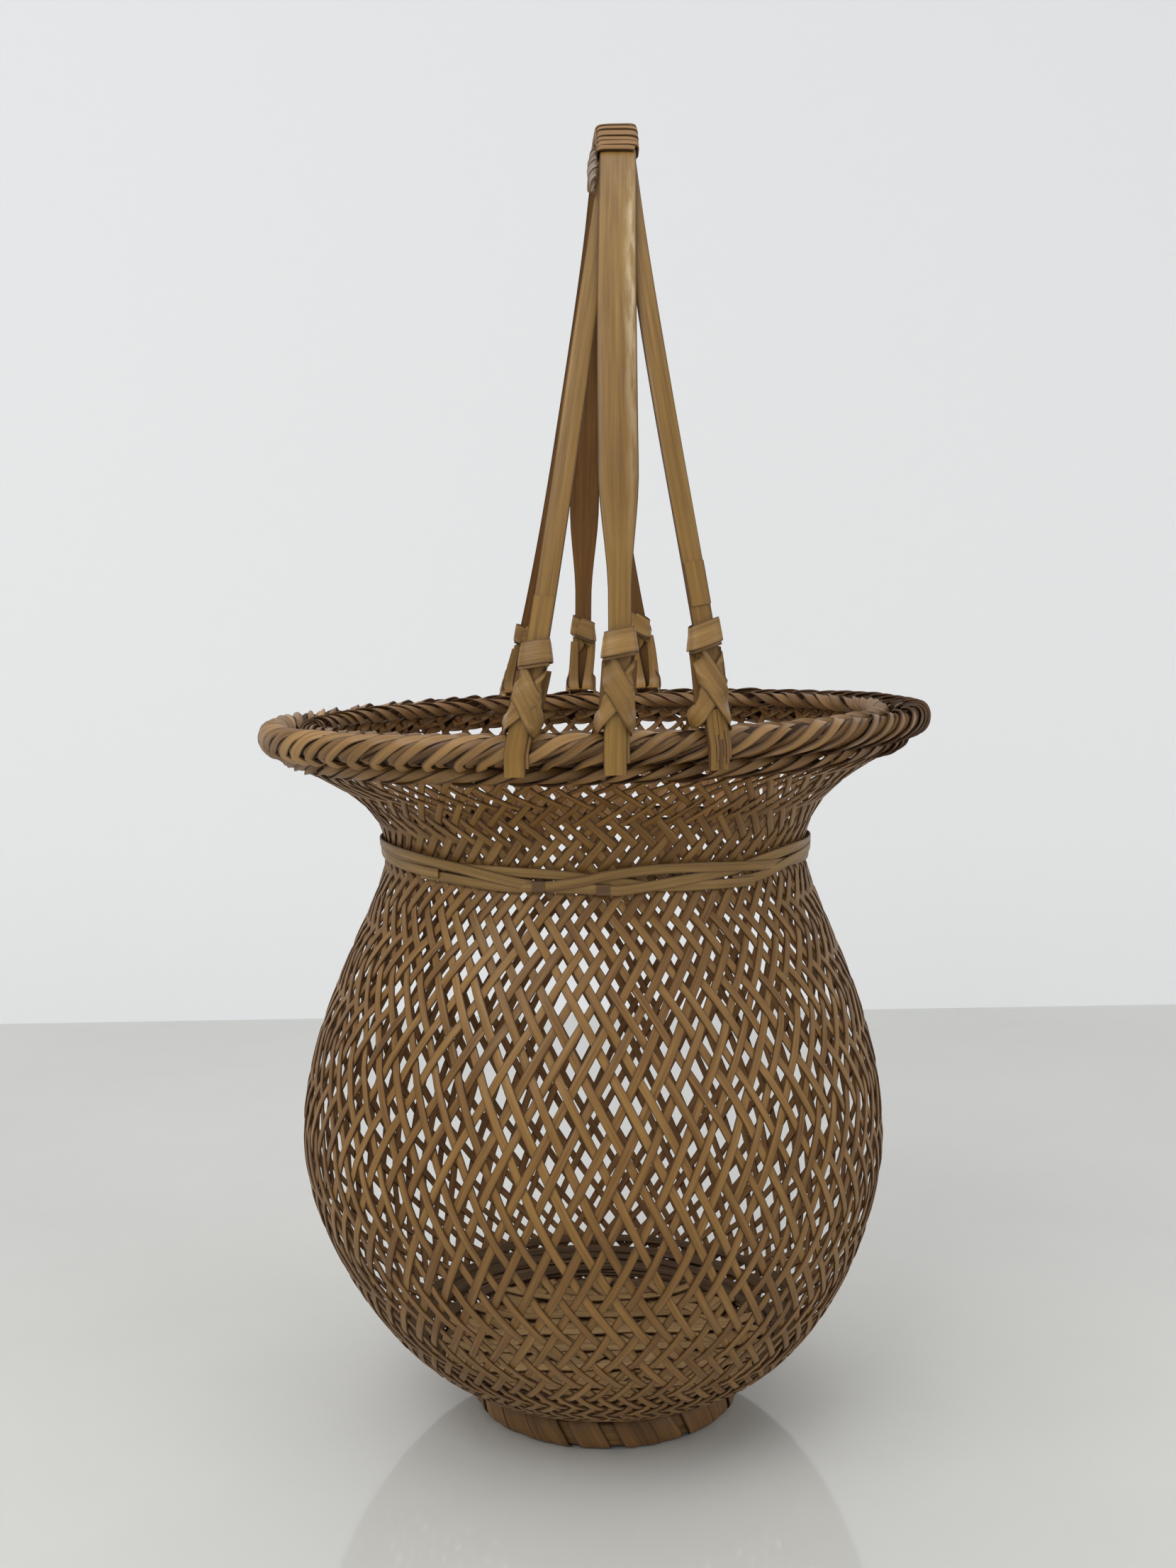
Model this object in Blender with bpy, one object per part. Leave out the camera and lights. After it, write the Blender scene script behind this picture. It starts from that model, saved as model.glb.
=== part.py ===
"""Ikebana basket: a plaited bamboo body on a bound foot ring, with a rolled
rope rim and a tall handle of three bamboo strips lashed to the rim.

Units are metres. +Z is up, the floor is z = 0, and the handle's arch runs
front to back along Y with the front at -Y.
"""

import math

import bmesh
import bpy
from mathutils import Matrix, Vector
from mathutils.bvhtree import BVHTree

# Driving sizes of the whole basket
MOUTH_RADIUS = 0.1000
RIM_HEIGHT = 0.2113
HANDLE_TOP = 0.3870
BELLY_RADIUS = 0.0890
BELLY_HEIGHT = 0.0865
NECK_RADIUS = 0.0636
NECK_DROP = 0.0374
FOOT_RADIUS = 0.0415
FOOT_HEIGHT = 0.0095

# Clearances between separate pieces
SEAT_GAP = 0.0003
LOOP_GAP = 0.0007
LOOP_CORNERS = 8

# Woven body
WALL = 0.0012
BASE_INSET = 0.0035
BODY_SEGMENTS = 48
CURVE_STEPS = 7
BASE_SWELL_SHARES = (0.51, 0.02)
BELLY_UNDER_SHARE = 0.38
BELLY_OVER_SHARE = 0.45
NECK_UNDER_SHARE = 0.17
NECK_OVER_SHARE = 0.65
FLARE_END_SHARE = 0.08
FLARE_DROP = 0.0083
WEB_BULGE_SHARE = 0.45

# Rim: outer roll, lower rope and inner rope, each made of slanting strips
ROLL_SECTION = 0.0046
LOWER_ROPE_SECTION = 0.0022
LOWER_ROPE_INSET = 0.0060
INNER_ROPE_SECTION = 0.0024
INNER_ROPE_INSET = 0.0121
INNER_ROPE_RISE = 0.0015
ROLL_STRANDS = 4
ROPE_STRANDS = 3
ROLL_TURNS = 15
ROPE_TURNS = 20
ROLL_STEPS_PER_TURN = 8
ROPE_STEPS_PER_TURN = 5
ROLL_GROOVE_SHARE = 0.16
ROPE_GROOVE_SHARE = 0.20

# Neck winding
NECK_STRAND_WIDTH = 0.0027
NECK_STRAND_THICKNESS = 0.0006
NECK_TURNS = 3
NECK_TURN_POINTS = 24
NECK_WINDING_DROP = 0.0015
NECK_WANDER = 0.0004

# Foot ring and its binding
FOOT_BINDING_THICKNESS = 0.0006
FOOT_BINDING_WIDTH = 0.0088
FOOT_TURNS = 21
FOOT_HOOP_THICKNESS = 0.0034
FOOT_HOOP_CHAMFER = 0.0009
FOOT_SEGMENTS = 48

# Inside of the base: reinforcing slats and the coil over their ends
SLAT_WIDTH = 0.0085
SLAT_THICKNESS = 0.0010
SLAT_PITCH = 0.0190
SLATS_EACH_WAY = 3
COIL_STRAND_WIDTH = 0.0024
COIL_STRAND_THICKNESS = 0.0010
COIL_TURNS = 3
COIL_TURN_POINTS = 24
COIL_RISE = 0.0052

# Handle strips
CENTRE_WIDTH = 0.0112
CENTRE_FOOT_WIDTH = 0.0064
CENTRE_THICKNESS = 0.0014
SIDE_WIDTH = 0.0054
SIDE_THICKNESS = 0.0012
FOOT_SPREAD = 0.0227
TONGUE_DROP = 0.0058
SHOULDER_RISE = 0.0667
SHOULDER_LENGTH = 0.0180
SPLIT_DROP = 0.0160
SPLAY_POWER = 1.1
LAYER_SHARE = 0.35
ARCH_STEPS = 26
ARCH_SIDE_SHARE = 0.55
ARCH_CROWN_SHARE = 0.47
EDGE_THICKNESS_SHARE = 0.62
CROWN_WIDTH_SHARE = 0.50

# Binding at the crown of the handle, and the twisted tail at its end
CROWN_STRAND_WIDTH = 0.0026
CROWN_STRAND_THICKNESS = 0.0006
CROWN_TURNS = 17
CROWN_GAP = 0.0008
CROWN_CHAMFER = 0.0005
CROWN_EASE = 0.0005
TAIL_LENGTH = 0.0100
TAIL_SECTION = 0.0011
TAIL_TURNS = 2
TAIL_STEPS = 12
TAIL_SIDES = 6
TAIL_END_SHARE = 0.55
TAIL_GROOVE_SHARE = 0.70

# Lashings that tie the six legs of the handle to the rim: heights are above
# the middle of the rim roll
LASHING_THICKNESS = 0.0005
COLLAR_GAP = 0.00045
LASHING_CHAMFER = 0.0005
COLLAR_WIDTH = 0.0080
COLLAR_HEIGHT = 0.0272
COLLAR_TURNS = 1.25
COLLAR_SLIP = 0.0008
TIE_WIDTH = 0.0052
TIE_CREASE_SHARE = 1.35
TIE_LOW = 0.0099
TIE_RISE = 0.0063
TIE_BACK_RISE = 0.0016
TIE_EDGE_EASE = 0.0012
TIE_TWIST_SHARES = (0.25, 0.94)
TIE_TWIST_STEPS = 6
TIE_ROLL_STEPS = 2
TIE_FOOT_HEIGHT = 0.0015
TIE_FOOT_SPREAD = 0.0006

# Small skews of the hand-made basket
RIM_TILT = math.radians(1.2)
HANDLE_YAW = math.radians(2.7)
HANDLE_LEAN = 0.0078
HANDLE_LEAN_POWER = 2.2
BELLY_SWAY = -0.0015
FOOT_SWAY = 0.0017

# Lengths worked out from the driving sizes
NECK_HEIGHT = RIM_HEIGHT - NECK_DROP
SHOULDER_HEIGHT = RIM_HEIGHT + SHOULDER_RISE
ROLL_RING_RADIUS = MOUTH_RADIUS - ROLL_SECTION
BASE_HEIGHT = FOOT_HEIGHT + SEAT_GAP
BASE_RADIUS = FOOT_RADIUS - BASE_INSET
INNER_ROPE_RADIUS = ROLL_RING_RADIUS - INNER_ROPE_INSET + INNER_ROPE_SECTION
INNER_ROPE_HEIGHT = RIM_HEIGHT + INNER_ROPE_RISE
LOWER_ROPE_RADIUS = MOUTH_RADIUS - LOWER_ROPE_INSET - LOWER_ROPE_SECTION
LOWER_ROPE_HEIGHT = RIM_HEIGHT - ROLL_SECTION - LOWER_ROPE_SECTION + SEAT_GAP
FLARE_RADIUS = LOWER_ROPE_RADIUS - LOWER_ROPE_SECTION - SEAT_GAP
FLARE_HEIGHT = RIM_HEIGHT - FLARE_DROP
SIDE_REACH = MOUTH_RADIUS + SEAT_GAP + SIDE_THICKNESS / 2
WEB_TOP_RADIUS = INNER_ROPE_RADIUS + WALL / 2
WEB_TOP_HEIGHT = INNER_ROPE_HEIGHT - INNER_ROPE_SECTION - SEAT_GAP

SHARP_ANGLE = math.radians(40)
BAMBOO_ROUGHNESS = 0.55
COLOURS = {
    "body": (0.21, 0.125, 0.05, 1.0),
    "rim": (0.20, 0.12, 0.05, 1.0),
    "neck": (0.22, 0.145, 0.06, 1.0),
    "handle": (0.26, 0.155, 0.058, 1.0),
    "lashing": (0.24, 0.155, 0.068, 1.0),
    "foot": (0.155, 0.096, 0.045, 1.0),
    "inside": (0.12, 0.068, 0.028, 1.0),
}


def smooth(value):
    """Ease a share from 0 to 1 with flat ends."""
    value = min(max(value, 0.0), 1.0)
    return value * value * (3.0 - 2.0 * value)


def sway(height):
    """Sideways shift of the body's axis at a height."""
    if height < BELLY_HEIGHT:
        share = smooth(height / BELLY_HEIGHT)
        return FOOT_SWAY + (BELLY_SWAY - FOOT_SWAY) * share
    share = smooth((height - BELLY_HEIGHT) / (NECK_HEIGHT - BELLY_HEIGHT))
    return BELLY_SWAY * (1.0 - share)


def settle(point):
    """Move a point of the true basket to where the hand-made one has it."""
    tilt = math.tan(RIM_TILT) * smooth((point.z - NECK_HEIGHT) / (FLARE_HEIGHT - NECK_HEIGHT))
    rise = max((point.z - RIM_HEIGHT) / (HANDLE_TOP - RIM_HEIGHT), 0.0)
    lean = HANDLE_LEAN * rise ** HANDLE_LEAN_POWER
    return Vector((point.x + sway(point.z) + lean, point.y, point.z + point.x * tilt))


def make_object(name, points, faces, colour, turn=0.0):
    """Make one closed solid with its own material."""
    yaw = Matrix.Rotation(turn, 3, "Z")
    mesh = bpy.data.meshes.new(name)
    mesh.from_pydata([settle(yaw @ Vector(point)) for point in points], [], faces)
    shape = bmesh.new()
    shape.from_mesh(mesh)
    bmesh.ops.recalc_face_normals(shape, faces=shape.faces)
    shape.to_mesh(mesh)
    shape.free()
    mesh.shade_smooth()
    mesh.set_sharp_from_angle(angle=SHARP_ANGLE)
    material = bpy.data.materials.new(name)
    material.use_nodes = True
    shader = material.node_tree.nodes["Principled BSDF"]
    shader.inputs["Base Color"].default_value = COLOURS[colour]
    shader.inputs["Roughness"].default_value = BAMBOO_ROUGHNESS
    mesh.materials.append(material)
    bpy.context.collection.objects.link(bpy.data.objects.new(name, mesh))


def bezier(start, near, far, end, steps):
    """Points of a cubic curve, with its start and without its end."""
    points = []
    for step in range(steps):
        t = step / steps
        s = 1.0 - t
        points.append(start * s ** 3 + near * 3 * s * s * t + far * 3 * s * t * t + end * t ** 3)
    return points


def body_outline():
    """Outside of the woven body as (radius, height), from base to rim."""
    base = Vector((BASE_RADIUS, BASE_HEIGHT))
    belly = Vector((BELLY_RADIUS, BELLY_HEIGHT))
    neck = Vector((NECK_RADIUS, NECK_HEIGHT))
    flare = Vector((FLARE_RADIUS, FLARE_HEIGHT))
    web = Vector((WEB_TOP_RADIUS, WEB_TOP_HEIGHT))
    low = belly - base
    high = neck - belly
    top = flare - neck
    across, up = BASE_SWELL_SHARES
    points = bezier(base, base + Vector((low.x * across, low.y * up)),
                    belly - Vector((0.0, low.y * BELLY_UNDER_SHARE)), belly, CURVE_STEPS)
    points += bezier(belly, belly + Vector((0.0, high.y * BELLY_OVER_SHARE)),
                     neck - Vector((0.0, high.y * NECK_UNDER_SHARE)), neck, CURVE_STEPS)
    points += bezier(neck, neck + Vector((0.0, top.y * NECK_OVER_SHARE)),
                     flare - Vector((0.0, top.y * FLARE_END_SHARE)), flare, CURVE_STEPS)
    points.append(flare)
    points.append(flare.lerp(web, 0.5) + Vector(((flare.x - web.x) * WEB_BULGE_SHARE / 2, 0.0)))
    points.append(web)
    return points


def outline_normals(points):
    """Outward normals of an outline that runs upwards."""
    normals = []
    last = len(points) - 1
    for index in range(len(points)):
        ahead = points[min(index + 1, last)] - points[max(index - 1, 0)]
        normals.append(Vector((ahead.y, -ahead.x)).normalized())
    return normals


def outline_at(height):
    """Radius and outward normal of the woven body's outside at a height."""
    points = body_outline()
    normals = outline_normals(points)
    for low, high, first, second in zip(points, points[1:], normals, normals[1:]):
        if low.y <= height <= high.y:
            share = (height - low.y) / (high.y - low.y)
            return low.lerp(high, share).x, first.lerp(second, share).normalized()
    raise ValueError("no wall at this height")


def tube_faces(sections, sides, closed=False):
    """Faces of a tube of sections, joined end to end or with capped ends."""
    faces = []
    for section in range(sections if closed else sections - 1):
        first = section * sides
        after = (section + 1) % sections * sides
        for side in range(sides):
            follow = (side + 1) % sides
            faces.append((first + side, first + follow, after + follow, after + side))
    if not closed:
        faces.append(tuple(range(sides)))
        faces.append(tuple(range((sections - 1) * sides, sections * sides)))
    return faces


def revolve(name, outline, segments, colour):
    """Turn a closed outline about Z. Points on the axis become poles."""
    points = []
    rings = []
    for radius, height in outline:
        if radius == 0.0:
            rings.append([len(points)] * segments)
            points.append((0.0, 0.0, height))
            continue
        rings.append(list(range(len(points), len(points) + segments)))
        for segment in range(segments):
            angle = math.tau * segment / segments
            points.append((radius * math.cos(angle), radius * math.sin(angle), height))
    faces = []
    for index, ring in enumerate(rings):
        after = rings[(index + 1) % len(rings)]
        if ring[0] == ring[1] and after[0] == after[1]:
            continue
        for segment in range(segments):
            follow = (segment + 1) % segments
            corners = [ring[segment], ring[follow], after[follow], after[segment]]
            faces.append(list(dict.fromkeys(corners)))
    make_object(name, points, faces, colour)


def make_body():
    """The woven body as a thin shell, open at the mouth."""
    outside = body_outline()
    inside = [point - normal * WALL for point, normal in zip(outside, outline_normals(outside))]
    inside = [point for point in inside if point.y > BASE_HEIGHT + WALL]
    floor_edge = Vector((BASE_RADIUS, BASE_HEIGHT + WALL))
    loop = [Vector((0.0, BASE_HEIGHT))] + outside + inside[::-1]
    loop += [floor_edge, Vector((0.0, BASE_HEIGHT + WALL))]
    revolve("woven_body", [tuple(point) for point in loop], BODY_SEGMENTS, "body")


def rope_ring(name, radius, height, section, strands, turns, steps_per_turn, groove):
    """A ring of slanting strips: ridges and grooves wind round its section."""
    sides = strands * 2
    steps = abs(turns) * steps_per_turn
    points = []
    for step in range(steps):
        angle = math.tau * step / steps
        for side in range(sides):
            size = section if side % 2 == 0 else section * (1.0 - groove)
            around = math.tau * (side / sides + turns * step / steps)
            reach = radius + size * math.cos(around)
            points.append((reach * math.cos(angle), reach * math.sin(angle),
                           height + size * math.sin(around)))
    make_object(name, points, tube_faces(steps, sides, closed=True), "rim")


def strip_sides(centres, normals):
    """Sideways direction of a strip at each point of its path."""
    sides = []
    last = len(centres) - 1
    for index, normal in enumerate(normals):
        ahead = centres[min(index + 1, last)] - centres[max(index - 1, 0)]
        sides.append(ahead.cross(normal).normalized())
    return sides


def strip_corners(place, width, thickness):
    """Corners of a flat strip's section: two inside, then two outside."""
    centre, outward, sideways = place
    half = sideways * (width / 2)
    skin = outward * (thickness / 2)
    return [centre - half - skin, centre + half - skin, centre + half + skin, centre - half + skin]


def make_strip(name, path, widths, thickness, colour, crowned=False, turn=0.0):
    """A flat strip along a path of centres, outward and sideways directions.

    A direction longer than one stretches the strip there, as at a mitred
    crease. A crowned strip is thicker along its middle.
    """
    points = []
    for place, width in zip(path, widths):
        section = strip_corners(place, width, thickness)
        if crowned:
            near, far, far_skin, near_skin = section
            rise = 1 - CROWN_WIDTH_SHARE
            section = [near, far, far.lerp(far_skin, EDGE_THICKNESS_SHARE),
                       far_skin.lerp(near_skin, rise / 2), near_skin.lerp(far_skin, rise / 2),
                       near.lerp(near_skin, EDGE_THICKNESS_SHARE)]
        points += section
    make_object(name, points, tube_faces(len(path), len(section)), colour, turn)


def framed(centres, normals):
    """A path for make_strip whose sides are square to its run."""
    return list(zip(centres, normals, strip_sides(centres, normals)))


def print_least_gap(name, path, width, thickness, turn_points):
    """Measure and print a winding's least distance to its own next turn."""
    least = math.inf
    sections = [strip_corners(place, width, thickness) for place in path]
    for index in range(len(path) - turn_points):
        after = index + turn_points
        stretch = sections[after - 1:after + 2]
        points = [corner for section in stretch for corner in section]
        tree = BVHTree.FromPolygons(points, tube_faces(len(stretch), len(sections[0])))
        for corner in sections[index]:
            least = min(least, tree.find_nearest(corner)[3])
    print(f"{name}: least gap to itself {least:.5f} m")


def make_neck_winding():
    """One flat strand wound loosely round the neck."""
    pitch = NECK_STRAND_WIDTH + LOOP_GAP + NECK_WANDER
    count = NECK_TURNS * NECK_TURN_POINTS
    stand_off = SEAT_GAP + NECK_STRAND_THICKNESS / 2
    sagitta = NECK_RADIUS * (1 - math.cos(math.pi / NECK_TURN_POINTS))
    centres = []
    normals = []
    for index in range(count + 1):
        angle = math.tau * index / NECK_TURN_POINTS
        height = NECK_HEIGHT - NECK_WINDING_DROP + pitch * (index / NECK_TURN_POINTS - NECK_TURNS / 2)
        height += NECK_WANDER * math.sin(2 * angle)
        radius, slope = outline_at(height)
        reach = max(radius, NECK_RADIUS) + stand_off + sagitta
        reach += abs(slope.y) * NECK_STRAND_WIDTH / 2
        centres.append(Vector((reach * math.cos(angle), reach * math.sin(angle), height)))
        normals.append(Vector((math.cos(angle), math.sin(angle), 0.0)))
    path = framed(centres, normals)
    print_least_gap("neck_winding", path, NECK_STRAND_WIDTH, NECK_STRAND_THICKNESS,
                    NECK_TURN_POINTS)
    widths = [NECK_STRAND_WIDTH] * len(path)
    make_strip("neck_winding", path, widths, NECK_STRAND_THICKNESS, "neck")


def make_base_coil():
    """The coil of thin strips that presses the slat ends to the wall."""
    height = BASE_HEIGHT + WALL + COIL_RISE
    pitch = COIL_STRAND_WIDTH + LOOP_GAP
    stand_off = WALL + SEAT_GAP + COIL_STRAND_THICKNESS / 2
    centres = []
    normals = []
    for index in range(COIL_TURNS * COIL_TURN_POINTS + 1):
        angle = math.tau * index / COIL_TURN_POINTS
        radius, slope = outline_at(height)
        reach = radius - slope.x * stand_off
        rise = height - slope.y * stand_off
        centres.append(Vector((reach * math.cos(angle), reach * math.sin(angle), rise)))
        normals.append(Vector((slope.x * math.cos(angle), slope.x * math.sin(angle), slope.y)))
        height += pitch / COIL_TURN_POINTS * slope.x
    path = framed(centres, normals)
    print_least_gap("base_coil", path, COIL_STRAND_WIDTH, COIL_STRAND_THICKNESS,
                    COIL_TURN_POINTS)
    widths = [COIL_STRAND_WIDTH] * len(path)
    make_strip("base_coil", path, widths, COIL_STRAND_THICKNESS, "inside")


def make_slats():
    """Two layers of flat slats laid across the inside of the base."""
    for layer in range(2):
        height = BASE_HEIGHT + WALL + SEAT_GAP + SLAT_THICKNESS / 2
        height += layer * (SLAT_THICKNESS + SEAT_GAP)
        for index in range(SLATS_EACH_WAY):
            offset = (index - (SLATS_EACH_WAY - 1) / 2) * SLAT_PITCH
            reach = math.sqrt((BASE_RADIUS - SEAT_GAP) ** 2 - (abs(offset) + SLAT_WIDTH / 2) ** 2)
            ends = [Vector((-reach, offset, height)), Vector((reach, offset, height))]
            if layer:
                ends = [Vector((-point.y, point.x, point.z)) for point in ends]
            name = f"base_slat_{'upper' if layer else 'lower'}_{index + 1}"
            up = [Vector((0.0, 0.0, 1.0))] * 2
            make_strip(name, framed(ends, up), [SLAT_WIDTH] * 2, SLAT_THICKNESS, "inside")


def chamfered_loop(width, depth, chamfer):
    """Eight corners of a chamfered rectangle, each with its mitre direction."""
    x = width / 2
    y = depth / 2
    corners = [(x - chamfer, -y), (x, -y + chamfer), (x, y - chamfer), (x - chamfer, y),
               (-x + chamfer, y), (-x, y - chamfer), (-x, -y + chamfer), (-x + chamfer, -y)]
    mitre = 1 / math.cos(math.pi / 8)
    loop = []
    for index, corner in enumerate(corners):
        angle = math.pi / 8 * (2 * index - 3)
        loop.append((corner, (mitre * math.cos(angle), mitre * math.sin(angle))))
    return loop


def wound_path(carrier, count, loops, start=0):
    """Path of a strip wound round a carrier, with its creases along it.

    carrier(share) gives the place, axis, across and up directions there, and
    loops(turns) the chamfered loop after that many turns.
    """
    path = []
    for index in range(count + 1):
        centre, axis, across, up = carrier(index / count)
        (x, y), (out, lift) = loops(index / LOOP_CORNERS)[(index + start) % LOOP_CORNERS]
        path.append((centre + across * x + up * y, across * out + up * lift, axis))
    return path


def make_foot():
    """The bent hoop under the basket, and the broad strip wound round it."""
    outer = FOOT_RADIUS - FOOT_BINDING_THICKNESS - SEAT_GAP
    inner = outer - FOOT_HOOP_THICKNESS
    bottom = FOOT_BINDING_THICKNESS + SEAT_GAP
    top = FOOT_HEIGHT - bottom
    cut = FOOT_HOOP_CHAMFER
    outline = [(inner, top - cut), (inner, bottom + cut), (inner + cut, bottom),
               (outer - cut, bottom), (outer, bottom + cut), (outer, top - cut),
               (outer - cut, top), (inner + cut, top)]
    revolve("foot_hoop", outline, FOOT_SEGMENTS, "foot")

    ease = FOOT_BINDING_WIDTH ** 2 / FOOT_RADIUS / 8
    depth = FOOT_HOOP_THICKNESS + 2 * SEAT_GAP + FOOT_BINDING_THICKNESS + ease
    height = FOOT_HEIGHT - FOOT_BINDING_THICKNESS
    middle = (outer + inner - ease) / 2
    loop = chamfered_loop(depth, height, cut + SEAT_GAP)

    def carrier(share):
        angle = -math.tau * share * (1 - 1 / FOOT_TURNS)
        across = Vector((math.cos(angle), math.sin(angle), 0.0))
        centre = across * middle + Vector((0.0, 0.0, FOOT_HEIGHT / 2))
        return centre, Vector((-across.y, across.x, 0.0)), across, Vector((0.0, 0.0, 1.0))

    path = wound_path(carrier, (FOOT_TURNS - 1) * LOOP_CORNERS, lambda turns: loop)
    print_least_gap("foot_binding", path, FOOT_BINDING_WIDTH, FOOT_BINDING_THICKNESS,
                    LOOP_CORNERS)
    widths = [FOOT_BINDING_WIDTH] * len(path)
    make_strip("foot_binding", path, widths, FOOT_BINDING_THICKNESS, "foot")


def half_arch():
    """The handle's line from the rim to the crown as (reach, height)."""
    foot = Vector((MOUTH_RADIUS + SEAT_GAP + CENTRE_THICKNESS / 2, RIM_HEIGHT))
    top = HANDLE_TOP - CROWN_STRAND_THICKNESS - SEAT_GAP - CENTRE_THICKNESS / 2
    crown = Vector((0.0, top))
    rise = Vector((0.0, (top - RIM_HEIGHT) * ARCH_SIDE_SHARE))
    shoulder = Vector((foot.x * ARCH_CROWN_SHARE, top))
    return bezier(foot, foot + rise, shoulder, crown, ARCH_STEPS) + [crown]


def arch_line():
    """The whole arch from the front tongue to the back one, as (y, z)."""
    half = half_arch()
    tip = Vector((half[0].x, RIM_HEIGHT - TONGUE_DROP))
    front = [tip] + half
    line = [Vector((-point.x, point.y)) for point in front]
    return line + front[-2::-1]


def arch_normals(line):
    """Outward directions of the arch in its own plane."""
    normals = []
    last = len(line) - 1
    for index in range(len(line)):
        ahead = line[min(index + 1, last)] - line[max(index - 1, 0)]
        normals.append(Vector((-ahead.y, ahead.x)).normalized())
    return normals


def splay(height):
    """Share of a side strip's spread that it has reached at a height."""
    split = HANDLE_TOP - SPLIT_DROP
    return min(max((split - height) / (split - RIM_HEIGHT), 0.0), 1.0) ** SPLAY_POWER


def side_offset(height):
    """Distance of a side strip's middle from the handle's plane at a height."""
    top = (SIDE_WIDTH + SEAT_GAP) / 2
    foot = FOOT_SPREAD * SIDE_REACH / MOUTH_RADIUS
    return top + (foot - top) * splay(height)


def side_strip_path(side):
    """Centre line and outward directions of the left or right strip."""
    line = arch_line()
    layer = CENTRE_THICKNESS / 2 + SEAT_GAP + SIDE_THICKNESS / 2
    azimuth = math.asin(FOOT_SPREAD / MOUTH_RADIUS)
    narrowing = SIDE_REACH * math.cos(azimuth) / abs(line[0].x)
    centres = []
    normals = []
    for point, outward in zip(line, arch_normals(line)):
        share = splay(point.y)
        inset = layer * (1.0 - smooth((share - LAYER_SHARE) / (1.0 - LAYER_SHARE)))
        place = point - outward * inset
        depth = place.x * (1.0 + (narrowing - 1.0) * share)
        centres.append(Vector((side * side_offset(point.y), depth, place.y)))
        swing = azimuth * share * side * abs(outward.x)
        normal = Vector((math.sin(swing), outward.x * math.cos(swing), outward.y))
        normals.append(normal.normalized())
    return centres, normals


def centre_strip_path():
    """Centre line and outward directions of the broad middle strip."""
    line = arch_line()
    centres = [Vector((0.0, point.x, point.y)) for point in line]
    normals = [Vector((0.0, outward.x, outward.y)) for outward in arch_normals(line)]
    return centres, normals


def make_handle_strips():
    """Three bamboo strips: one broad over two narrow ones that splay apart."""
    centres, normals = centre_strip_path()
    widths = []
    for centre in centres:
        share = smooth((centre.z - SHOULDER_HEIGHT + SHOULDER_LENGTH) / SHOULDER_LENGTH)
        widths.append(CENTRE_FOOT_WIDTH + (CENTRE_WIDTH - CENTRE_FOOT_WIDTH) * share)
    make_strip("handle_centre_strip", framed(centres, normals), widths, CENTRE_THICKNESS,
               "handle", crowned=True, turn=HANDLE_YAW)
    for name, side in (("handle_left_strip", -1), ("handle_right_strip", 1)):
        centres, normals = side_strip_path(side)
        make_strip(name, framed(centres, normals), [SIDE_WIDTH] * len(centres), SIDE_THICKNESS,
                   "handle", crowned=True, turn=HANDLE_YAW)


def arch_frame(distance):
    """Place and outward direction on the arch at a distance back from its crown."""
    line = arch_line()
    normals = arch_normals(line)
    way = -1 if distance < 0 else 1
    index = len(line) // 2
    left = abs(distance)
    length = (line[index + way] - line[index]).length
    while left > length:
        left -= length
        index += way
        length = (line[index + way] - line[index]).length
    place = line[index].lerp(line[index + way], left / length)
    outward = normals[index].lerp(normals[index + way], left / length).normalized()
    return Vector((0.0, place.x, place.y)), Vector((0.0, outward.x, outward.y))


def make_crown_binding():
    """The strand wound round all three strips at the crown."""
    pitch = CROWN_STRAND_WIDTH + CROWN_GAP
    length = pitch * CROWN_TURNS
    stack = CENTRE_THICKNESS + SEAT_GAP + SIDE_THICKNESS
    width = CENTRE_WIDTH + 2 * SEAT_GAP + CROWN_STRAND_THICKNESS
    depth = stack + 2 * CROWN_EASE + CROWN_STRAND_THICKNESS
    loop = chamfered_loop(width, depth, CROWN_CHAMFER)
    sink = (SEAT_GAP + SIDE_THICKNESS) / 2

    def carrier(share):
        place, outward = arch_frame(length * (share - 0.5))
        axis = Vector((0.0, -outward.z, outward.y))
        return place - outward * sink, axis, Vector((1.0, 0.0, 0.0)), outward

    path = wound_path(carrier, CROWN_TURNS * LOOP_CORNERS, lambda turns: loop)
    print_least_gap("crown_binding", path, CROWN_STRAND_WIDTH, CROWN_STRAND_THICKNESS,
                    LOOP_CORNERS)
    widths = [CROWN_STRAND_WIDTH] * len(path)
    make_strip("crown_binding", path, widths, CROWN_STRAND_THICKNESS, "lashing", turn=HANDLE_YAW)


def make_crown_tail():
    """The twisted end of the crown strand, down the left edge of the stack."""
    start = (CROWN_STRAND_WIDTH + CROWN_GAP) * CROWN_TURNS / 2 + CROWN_STRAND_WIDTH
    points = []
    for step in range(TAIL_STEPS + 1):
        share = step / TAIL_STEPS
        place, outward = arch_frame(-start - TAIL_LENGTH * share)
        size = TAIL_SECTION * (TAIL_END_SHARE + (1 - TAIL_END_SHARE) * math.sin(math.pi * share))
        edge = side_offset(place.z) + SIDE_WIDTH / 2 + SEAT_GAP + TAIL_SECTION
        middle = place - outward * SIDE_THICKNESS + Vector((-edge, 0.0, 0.0))
        for side in range(TAIL_SIDES):
            lobe = size if side % (TAIL_SIDES // 2) == 0 else size * TAIL_GROOVE_SHARE
            around = math.tau * (side / TAIL_SIDES + TAIL_TURNS * share)
            points.append(middle + Vector((lobe * math.cos(around), 0.0, 0.0))
                          + outward * lobe * math.sin(around))
    faces = tube_faces(TAIL_STEPS + 1, TAIL_SIDES)
    make_object("crown_tail", points, faces, "lashing", turn=HANDLE_YAW)


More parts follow.
